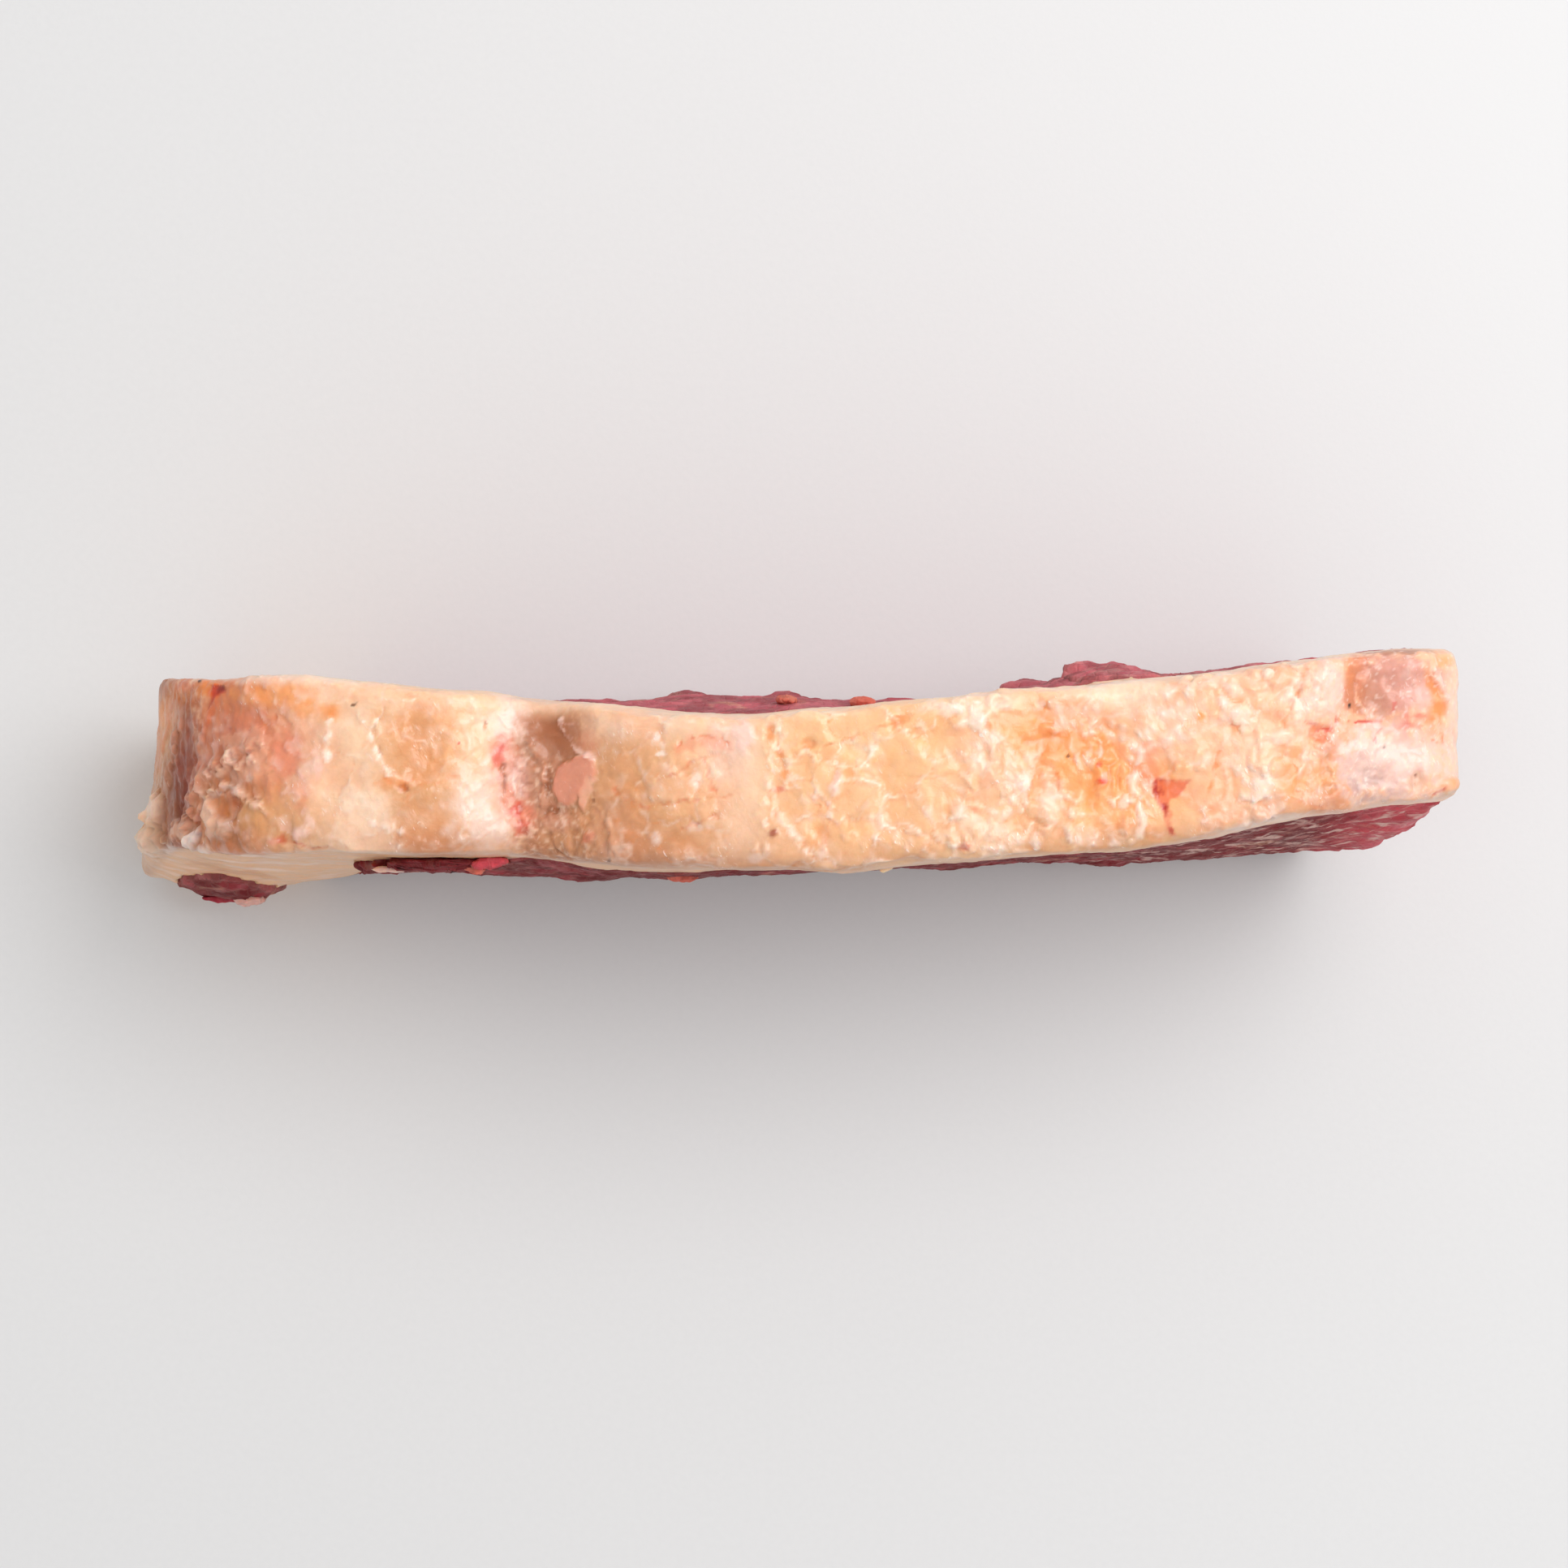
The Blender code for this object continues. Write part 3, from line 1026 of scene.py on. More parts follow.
# Broad colours of the crest, from the tail to the chine end.
GROUNDS = (
    Patch(-0.96, 0, 12, 30, Tint.HIDE, 1, softness=0.35),
    Patch(-0.8, 0, 9, 30, Tint.BLUSH, 0.95, softness=0.5),
    Patch(-0.8, -0.6, 7, 7, Tint.TAN, 0.45),
    Patch(-0.705, 0.2, 4.5, 30, Tint.PEACH, 0.4),
    Patch(-0.72, 0.15, 6.5, 6, Tint.BLUSH, 0.5, softness=0.7),
    Patch(-0.71, -0.65, 8, 5, Tint.TAN, 0.75),
    Patch(-0.8, 0.35, 5, 4, Tint.ROSE, 0.5, softness=0.7),
    Wash(-0.61, 0, 8, 30, Tint.PALE, 0.35),
    Wash(-0.6, -0.6, 5, 5, Tint.PALE, 0.5),
    Patch(-0.53, 0.34, 7, 7, Tint.BUTTER, 0.45, softness=0.7),
    Wash(-0.535, 0.1, 5, 9, Tint.TAN, 0.8),
    Patch(-0.53, 0.1, 3.6, 6, Tint.SHADED, 0.25, softness=0.9),
    Wash(-0.5, -0.4, 5.5, 7, Tint.TAN, 0.65, ragged=0.6),
    Wash(-0.5, -0.88, 7, 2.2, Tint.SHADED, 0.6),
    Wash(-0.435, -0.35, 4.6, 6, Tint.WHITE, 0.55, turn=-12, ragged=0.6),
    Wash(-0.415, -0.62, 4.6, 4.6, Tint.WHITE, 0.6, ragged=0.6),
    Patch(-0.375, 0.75, 5.5, 3.6, Tint.WHITE, 0.75, softness=0.7),
    Patch(-0.385, 0.25, 3.4, 9, Tint.TISSUE, 0.8, softness=0.7),
    Wash(-0.375, 0.45, 2.6, 3.6, Tint.PALE, 0.5),
    # The valley: painted shade on its slope that faces away from the light, browner at its back.
    Patch(-0.33, 0, 6, 30, Tint.SHADED, 0.95, softness=0.4),
    Wash(-0.335, 0.48, 3.4, 5, Tint.HIDE, 0.75),
    Wash(-0.345, 0.3, 2, 3, Tint.SHADED, 0.5),
    Patch(-0.335, -0.25, 4, 7.5, Tint.CRUST, 0.6),
    Wash(-0.275, -0.4, 4, 6.5, Tint.SHADED, 0.6),
    Patch(-0.3, -0.72, 6, 3, Tint.TAN, 0.6),
    Patch(-0.22, -0.15, 8.5, 9.5, Tint.TAN, 0.9, softness=0.5),
    Patch(-0.215, -0.05, 6, 12, Tint.SHADED, 0.6, softness=0.9),
    Patch(-0.16, 0, 4, 7, Tint.TAN, 0.5, softness=0.9),
    Patch(-0.2, -0.75, 9, 4, Tint.SHADED, 0.35, softness=0.7),
    Patch(-0.11, 0.3, 5, 8, Tint.PEACH, 0.4),
    Wash(-0.19, 0.84, 8, 2.6, Tint.PALE, 0.6),
    Wash(-0.065, 0.6, 4, 5, Tint.TISSUE, 0.5, ragged=0.5),
    Wash(-0.33, 0.94, 5, 1.6, Tint.CREAM, 0.6),
    Fleck(-0.17, 0.25, 7, 5, Tint.BUTTER, 0.35, softness=0.9),
    Fleck(-0.14, -0.35, 6, 4, Tint.BUTTER, 0.3, softness=0.9),
    Patch(-0.11, -0.5, 4, 5, Tint.TAN, 0.4),
    Patch(-0.05, -0.1, 3.6, 9.5, Tint.PALE, 0.4),
    Patch(0.12, 0, 14, 30, Tint.BUTTER, 0.6),
    Patch(0.2, -0.2, 9, 7, Tint.CREAM, 0.5),
    Patch(0.24, 0.6, 5.5, 3.6, Tint.BUTTER, 0.8),
    Patch(0.29, 0.25, 5, 6, Tint.PEACH, 0.5),
    Patch(0.4, 0.44, 9, 4.6, Tint.AMBER, 0.85, turn=-10, softness=0.7),
    Wash(0.4, 0.35, 4, 3, Tint.HONEY, 0.3),
    Patch(0.49, 0.14, 2.8, 3.6, Tint.AMBER, 0.55, softness=0.7),
    Patch(0.455, 0, 7.5, 7, Tint.AMBER, 0.85, softness=0.7, ragged=0.5),
    Patch(0.53, -0.4, 7, 5.5, Tint.AMBER, 0.85, softness=0.7, ragged=0.5),
    Patch(0.48, 0.84, 13, 3.2, Tint.PALE, 0.75, turn=4, softness=0.7),
    Wash(0.545, 0.38, 4.5, 4.5, Tint.TISSUE, 0.6, ragged=0.5),
    Wash(0.62, -0.7, 7, 3, Tint.BUTTER, 0.5),
    Wash(0.66, -0.4, 5, 3, Tint.AMBER, 0.4),
    Patch(0.56, 0.45, 7, 3.5, Tint.PEACH, 0.6),
    Patch(0.68, 0, 14, 30, Tint.PEACH, 0.75),
    Patch(0.7, -0.3, 4, 5, Tint.PALE, 0.5),
    Patch(0.77, -0.5, 5, 5.5, Tint.AMBER, 0.7, softness=0.7),
    Patch(0.81, -0.8, 4.5, 3, Tint.BLUSH, 0.6, softness=0.7),
    Wash(0.83, -0.1, 5, 7, Tint.ROSE, 0.45),
)

# The cut edges of the fat: smoother paler stretches along the back and the front, and painted shade
# along the rounded front edge.
EDGES = (
    Patch(-0.7, 0.98, 12, 1.3, Tint.PALE, 0.7, ragged=0.5),
    Patch(-0.3, 1, 20, 1.2, Tint.PALE, 0.4, ragged=0.5),
    Patch(0.05, 1, 10, 1.4, Tint.PALE, 0.45, ragged=0.5),
    Patch(0.27, 0.94, 9, 2, Tint.PALE, 0.85, turn=2, ragged=0.3),
    Patch(0.55, 0.99, 14, 1.7, Tint.PALE, 0.7, turn=4, ragged=0.4),
    Patch(0.1, -0.9, 12, 0.9, Tint.PALE, 0.45, turn=1, ragged=0.4),
    Patch(0.7, -0.97, 7, 0.8, Tint.WHITE, 0.8, turn=10, ragged=0.3),
    # Painted shade along the rounded front edge.
    Wash(-0.2, -0.96, 20, 1, Tint.SHADED, 0.4, ragged=0.6),
    Wash(0.52, -0.9, 18, 1.8, Tint.TAN, 0.55, turn=6, ragged=0.6),
    Wash(0.01, -0.98, 10, 0.9, Tint.TAN, 0.5, ragged=0.6),
)

# The tail's end: a dark drawn-out face, a curled corner, folds, and a hollow with lobes.
TAIL_MARKS = (
    Patch(-0.9, 0.8, 3.2, 2.6, Tint.HONEY, 0.6, softness=0.7),
    Patch(-0.888, 0.92, 2, 1, Tint.FLUSH, 0.4),
    Patch(-0.846, 0.88, 2.1, 1.4, Tint.HONEY, 0.7),
    Patch(-0.836, 0.86, 1.1, 1.2, Tint.ORANGE, 0.8, turn=-25),
    Patch(-0.84, 0.62, 0.7, 2.2, Tint.ORANGE, 0.4, turn=-20),
    Speck(-0.86, 0.97, 0.35, 0.22, Tint.UMBER, 1),
    Patch(-0.74, 0.78, 6, 1.9, Tint.AMBER, 0.7, ragged=0.5),
    Patch(-0.69, 0.64, 2, 1.4, Tint.AMBER, 0.6, ragged=0.5),
    Wash(-0.66, 0.6, 1.6, 1.7, Tint.AMBER, 0.8, ragged=0.5),
    Wash(-0.655, 0.57, 0.8, 0.8, Tint.HONEY, 0.6, ragged=0.5),
    Speck(-0.622, 0.71, 0.55, 0.24, Tint.UMBER, 1, turn=15),
    Patch(-0.72, 0.08, 2.4, 3.6, Tint.FLUSH, 0.45),
    Fleck(-0.79, 0.38, 4.2, 2.4, Tint.ROSE, 0.4, turn=15, softness=0.9),
    Patch(-0.7, -0.35, 1.2, 3, Tint.FLUSH, 0.3),
    Patch(-0.893, 0.02, 3, 8.5, Tint.DUSK, 0.85, turn=-6, softness=0.7),
    Patch(-0.893, 0, 1.6, 7, Tint.RUST, 0.35, turn=-6, softness=0.9),
    Patch(-0.965, 0.55, 3, 5, Tint.TAN, 0.5, softness=0.7),
    Patch(-0.945, 0.98, 5, 2.4, Tint.PEACH, 0.8, softness=0.7),
    Wash(-0.95, 0.85, 5, 3, Tint.AMBER, 0.6),
    Wash(-0.955, 0.8, 4.6, 4.6, Tint.TAN, 0.8),
    Wash(-0.93, 0.74, 2, 2.4, Tint.HONEY, 0.6),
    Wash(-0.95, -0.05, 3, 13, Tint.TAN, 0.5),
    Patch(-0.885, -0.1, 2.6, 13, Tint.RUST, 0.3, softness=0.9),
    Patch(-0.81, -0.05, 3.6, 9, Tint.HIDE, 0.45, softness=0.9),
    Patch(-0.985, -1.05, 6, 3.4, Tint.CREAM, 0.85, softness=0.6),
    Patch(-0.9, -0.45, 2, 4, Tint.DUSK, 0.7, turn=-8),
    Patch(-0.945, 0.55, 1.6, 4, Tint.BLUSH, 0.5),
    Patch(-0.88, -0.3, 0.9, 3.4, Tint.MAUVE, 0.45, turn=-8),
    Patch(-0.852, 0.02, 1.8, 1.6, Tint.MAUVE, 0.3, turn=40),
    Patch(-0.806, -0.49, 2.1, 1.5, Tint.HIDE, 0.7, turn=30, ragged=0.7, softness=0.7),
    Fleck(-0.8, -0.44, 0.9, 0.6, Tint.RUST, 0.5),
    Patch(-0.844, -0.53, 1.4, 2.2, Tint.PALE, 0.55, turn=10, ragged=0.3, softness=0.4, height=0.9),
    Patch(-0.825, -0.72, 2.2, 1.6, Tint.PALE, 0.55, ragged=0.3, softness=0.4, height=1),
    Patch(-0.766, -0.04, 2.6, 2.2, Tint.PEACH, 0.4, ragged=0.4, softness=0.7, height=0.6),
    Patch(-0.775, -0.55, 2.4, 2, Tint.TAN, 0.4, height=0.4),
    Patch(-0.942, -0.42, 1.3, 2.6, Tint.PALE, 0.9, ragged=0.4, height=1.6),
    Patch(-0.95, -0.68, 1.5, 2.6, Tint.CREAM, 0.9, ragged=0.4, height=1.3),
    Patch(-0.956, -0.9, 2, 2.2, Tint.PALE, 0.9, ragged=0.4, height=1.8),
    Patch(-0.95, -0.95, 0.6, 1.2, Tint.TAN, 0.7, height=-0.8),
    Patch(-0.915, -0.62, 1.6, 2.4, Tint.HIDE, 0.6),
    Fleck(-0.893, -0.8, 2.2, 1.5, Tint.PEACH, 0.7, turn=-20, height=0.9),
    Fleck(-0.868, -0.86, 0.7, 1.7, Tint.WHITE, 0.8, turn=-20, height=1.1),
    Fleck(-0.854, -0.97, 1.6, 0.6, Tint.WHITE, 0.75, height=0.7),
    Fleck(-0.922, -1.02, 1.6, 0.6, Tint.WHITE, 0.6, turn=20, height=0.6),
    Patch(-0.702, -0.78, 1.9, 0.8, Tint.TISSUE, 0.7, turn=15, ragged=0.8, softness=0.7, height=0.5),
    Patch(-0.684, -0.64, 0.5, 0.9, Tint.TISSUE, 0.6, turn=30, ragged=0.7, height=0.2),
    Patch(-0.676, 0, 0.7, 1.6, Tint.TISSUE, 0.5, ragged=0.8, softness=0.7, height=0.2),
    Patch(-0.7, -0.12, 0.6, 1.2, Tint.TISSUE, 0.4, ragged=0.8, softness=0.7, height=0.2),
    Wash(-0.735, -0.86, 1.2, 0.5, Tint.BRUISE, 0.4, ragged=0.9),
    # Painted shadow of the fold at the tail's front corner.
    Wash(-0.81, -0.82, 3.4, 2.2, Tint.HIDE, 0.45),
    Patch(-0.5, 0.8, 3, 2, Tint.PEACH, 0.4),
)

# The fat's own spots: flushes, bruises and small flecks.
SPOTS = (
    Patch(-0.548, -0.2, 0.8, 0.7, Tint.RUST, 0.75, ragged=0.7, height=-0.3),
    Patch(-0.56, -0.14, 2.6, 1, Tint.HONEY, 0.4, ragged=0.7),
    Speck(-0.429, 0.62, 0.3, 0.28, Tint.RUST, 1),
    Patch(-0.43, 0.57, 0.3, 0.5, Tint.HONEY, 0.8),
    Speck(-0.466, 0.36, 0.24, 0.2, Tint.BRUISE, 1),
    Patch(-0.425, 0.78, 2.2, 2, Tint.CREAM, 0.6),
    Fleck(-0.402, 0.18, 1.8, 4.2, Tint.FLUSH, 0.35, softness=0.7),
    Fleck(-0.403, 0.4, 0.9, 1.2, Tint.BRUISE, 0.3, softness=0.7),
    Fleck(-0.41, 0.22, 0.9, 2.2, Tint.BRUISE, 0.65, softness=0.7),
    Patch(-0.383, -0.1, 1.9, 3.8, Tint.MAUVE, 0.6),
    Fleck(-0.392, -0.22, 1, 2, Tint.FLUSH, 0.6),
    Fleck(-0.376, -0.5, 2.2, 3, Tint.FLUSH, 0.8),
    Fleck(-0.386, -0.42, 1, 1.2, Tint.BRUISE, 0.9),
    Fleck(-0.374, -0.6, 1, 1.2, Tint.BRUISE, 0.7),
    Fleck(-0.37, -0.66, 0.5, 0.8, Tint.RUST, 0.5),
    Patch(-0.338, -0.06, 0.6, 1.6, Tint.HIDE, 0.8, ragged=0.8, softness=0.7, height=-0.3),
    Patch(-0.331, -0.38, 0.9, 1, Tint.HIDE, 0.8, ragged=0.7, height=-0.3),
    Wash(-0.28, 0.45, 2, 2.6, Tint.SALMON, 0.4),
    Fleck(-0.278, -0.68, 0.9, 1.1, Tint.ROSE, 0.8, height=0.6),
    Fleck(-0.32, -0.53, 2.2, 1.2, Tint.CRUST, 0.8, height=0.5),
    Speck(-0.246, -0.94, 0.4, 0.3, Tint.UMBER, 1),
    Speck(-0.269, -0.21, 0.2, 0.3, Tint.DUSK, 0.8),
    Fleck(-0.176, 0.67, 0.55, 0.55, Tint.WHITE, 0.7),
    Fleck(-0.171, 0.46, 0.8, 0.4, Tint.WHITE, 0.7),
    Fleck(-0.118, 0.14, 1, 1.2, Tint.WHITE, 0.6),
    Fleck(-0.178, -0.61, 0.8, 0.9, Tint.WHITE, 0.6),
    Patch(-0.123, -0.47, 1.4, 0.7, Tint.WHITE, 0.5, ragged=0.7),
    Fleck(-0.05, 0.72, 1.6, 2.2, Tint.TISSUE, 0.7, height=0.4),
    Fleck(-0.03, -0.85, 1.6, 0.8, Tint.WHITE, 0.6),
    Fleck(-0.09, 0.63, 2.6, 1.3, Tint.FLUSH, 0.4),
    Fleck(-0.13, 0.6, 2.2, 1, Tint.FLUSH, 0.35, turn=30),
    Patch(-0.006, -0.53, 0.65, 0.6, Tint.RUST, 0.95, ragged=0.5, softness=0.4, height=0.3),
    Fleck(0.003, 0.02, 1.2, 0.5, Tint.BRUISE, 0.6),
    Fleck(-0.012, 0.74, 0.8, 1.2, Tint.HONEY, 0.7, height=-0.4),
    Fleck(0.003, 0.44, 0.6, 0.9, Tint.HONEY, 0.6, height=-0.3),
    Fleck(0.01, 0.21, 1.6, 0.6, Tint.AMBER, 0.7),
    Fleck(0.045, 0.57, 0.9, 0.9, Tint.HONEY, 0.6, height=-0.5),
    Patch(0.06, 0.6, 2.6, 1.5, Tint.BUTTER, 0.6),
    Fleck(0.1, 0.2, 1, 0.8, Tint.AMBER, 0.6),
    Fleck(0.176, 0.76, 1.6, 0.9, Tint.HONEY, 0.6, turn=30, height=-0.4),
    Fleck(0.16, 0.3, 2.2, 1.2, Tint.AMBER, 0.35, turn=20),
    Patch(0.06, -0.55, 1.6, 2, Tint.AMBER, 0.5, height=-0.3),
    Fleck(0.11, -0.58, 0.5, 1.6, Tint.HONEY, 0.5),
    Patch(0.384, 0.79, 0.8, 1.6, Tint.HONEY, 0.8, turn=25, ragged=0.5, height=-0.4),
    Fleck(0.386, 0.8, 0.4, 0.9, Tint.RUST, 0.4, turn=25),
    Patch(0.477, 0.47, 1.8, 0.7, Tint.HONEY, 0.85, ragged=0.5, height=-0.3),
    Speck(0.422, 0.17, 0.26, 0.26, Tint.UMBER, 1),
    Fleck(0.465, 0.04, 0.8, 0.5, Tint.BRUISE, 0.7, height=0.2),
    Fleck(0.471, -0.16, 0.95, 0.42, Tint.BRUISE, 0.9, height=0.3),
    Fleck(0.474, -0.1, 0.6, 0.8, Tint.TISSUE, 0.6),
    Patch(0.455, -0.22, 1, 3.6, Tint.HONEY, 0.3, height=-0.3),
    Fleck(0.407, -0.14, 0.3, 1.3, Tint.HONEY, 0.6),
    Fleck(0.273, -0.83, 0.9, 0.5, Tint.BRUISE, 0.6, turn=20),
    Fleck(0.285, -0.4, 1.4, 0.5, Tint.FLUSH, 0.7, turn=-30),
    Patch(0.333, 0.79, 0.9, 0.3, Tint.FLUSH, 0.5, turn=20),
    Patch(0.395, -0.35, 1.6, 3.4, Tint.WHITE, 0.45, ragged=0.7, height=0.3),
    Patch(0.295, -0.6, 4, 2, Tint.WHITE, 0.45, turn=-20, ragged=0.7, height=0.3),
    Patch(0.29, 0.12, 1.4, 1.5, Tint.WHITE, 0.55, ragged=0.7, height=0.3),
    Wash(0.537, 0.05, 2.6, 2.6, Tint.FLUSH, 0.4, ragged=0.6),
    Patch(0.56, -0.25, 3.4, 3.8, Tint.AMBER, 0.6, ragged=0.5, softness=0.9),
    Wash(0.54, -0.1, 1.6, 2.4, Tint.FLUSH, 0.5, ragged=0.5),
    Fleck(0.615, 0.48, 0.8, 0.8, Tint.AMBER, 0.9),
    Fleck(0.664, 0.28, 0.9, 0.7, Tint.HONEY, 0.5),
    Fleck(0.668, 0.42, 2.4, 1.4, Tint.WHITE, 0.4, height=0.4),
    Patch(0.728, 0.36, 0.8, 0.8, Tint.FLUSH, 0.4),
)

# The chine end: white lobes, a bare grey patch with an orange rim, and white tissue below.
CHINE_MARKS = (
    Patch(0.905, 0, 9.6, 30, Tint.PEACH, 0.8, softness=0.2),
    Patch(0.8, 0.62, 2.9, 4.6, Tint.TISSUE, 0.75, ragged=0.4, height=0.7),
    Patch(0.765, 0.45, 2.2, 3.6, Tint.WHITE, 0.5, ragged=0.5, height=0.4),
    Patch(0.896, 0.56, 7.6, 5, Tint.MAUVE, 0.95, softness=0.3),
    Patch(0.842, 0.6, 2, 5, Tint.BLUSH, 0.85, turn=-6, ragged=0.5),
    Patch(0.832, 0.72, 1, 2.4, Tint.HONEY, 0.3, ragged=0.5),
    Patch(0.9, 0.5, 6.6, 4.6, Tint.SALMON, 0.35, softness=0.9, ragged=0.5),
    Patch(0.866, 0.42, 2.6, 3.8, Tint.SHADED, 0.55, turn=12, ragged=0.5, softness=1, height=-0.4),
    Patch(0.915, 0.52, 3.6, 3.6, Tint.MAUVE, 0.4, ragged=0.5, softness=0.9, height=0.3),
    Wash(0.943, 0.34, 1.6, 2.2, Tint.TISSUE, 0.5, ragged=0.6),
    Patch(0.89, -0.42, 9, 6, Tint.TISSUE, 0.85, softness=0.4, ragged=0.5),
    Wash(0.848, -0.55, 2.8, 3.2, Tint.LILAC, 0.8, turn=30, ragged=0.7),
    Patch(0.86, -0.74, 3.4, 1.8, Tint.SMOKE, 0.4, ragged=0.9, softness=0.9),
    Patch(0.875, -0.5, 1.6, 1.2, Tint.SMOKE, 0.25, ragged=0.9, softness=0.9),
    Fleck(0.9, -0.1, 2, 1.2, Tint.FLUSH, 0.25),
    Fleck(0.934, -0.74, 1.7, 1.4, Tint.TAN, 0.45, height=-0.3),
    Wash(0.938, 0.07, 2.6, 1.3, Tint.FLUSH, 0.55, turn=-8, ragged=0.8),
    Patch(0.934, 0.13, 1.8, 0.45, Tint.BRUISE, 0.4, turn=-6, ragged=0.9, softness=0.9),
    Patch(0.925, 0.01, 1.4, 0.45, Tint.BRUISE, 0.3, turn=-6, ragged=0.9, softness=0.9),
    Fleck(0.787, 0.06, 1.6, 1.2, Tint.FLUSH, 0.7, height=-0.6),
    Fleck(0.79, -0.04, 0.7, 0.7, Tint.ORANGE, 0.7),
    Fleck(0.797, -0.2, 1.6, 2.6, Tint.BLUSH, 0.5, turn=-15),
    Fleck(0.8, -0.5, 1.2, 2.6, Tint.TAN, 0.45, height=-0.4),
    Patch(0.993, 0, 1.8, 12, Tint.TISSUE, 0.5, ragged=0.4),
    Patch(0.956, 0.52, 1, 2.9, Tint.HONEY, 0.75, turn=22, ragged=0.4),
    Fleck(0.966, 0.22, 1.3, 2, Tint.HONEY, 0.75),
    Fleck(0.952, 0, 1.6, 2.6, Tint.AMBER, 0.35, softness=0.9),
    Patch(0.975, 0.84, 1.8, 1, Tint.AMBER, 0.5),
    Speck(0.833, 0.35, 0.26, 0.26, Tint.UMBER, 1),
    Speck(0.882, -0.22, 0.24, 0.24, Tint.UMBER, 0.9),
    Patch(0.984, -0.8, 2, 1.1, Tint.AMBER, 0.6, turn=10, height=0.6),
    Patch(0.89, 1.03, 8, 0.9, Tint.HIDE, 0.7, softness=0.4, ragged=0.3),
)

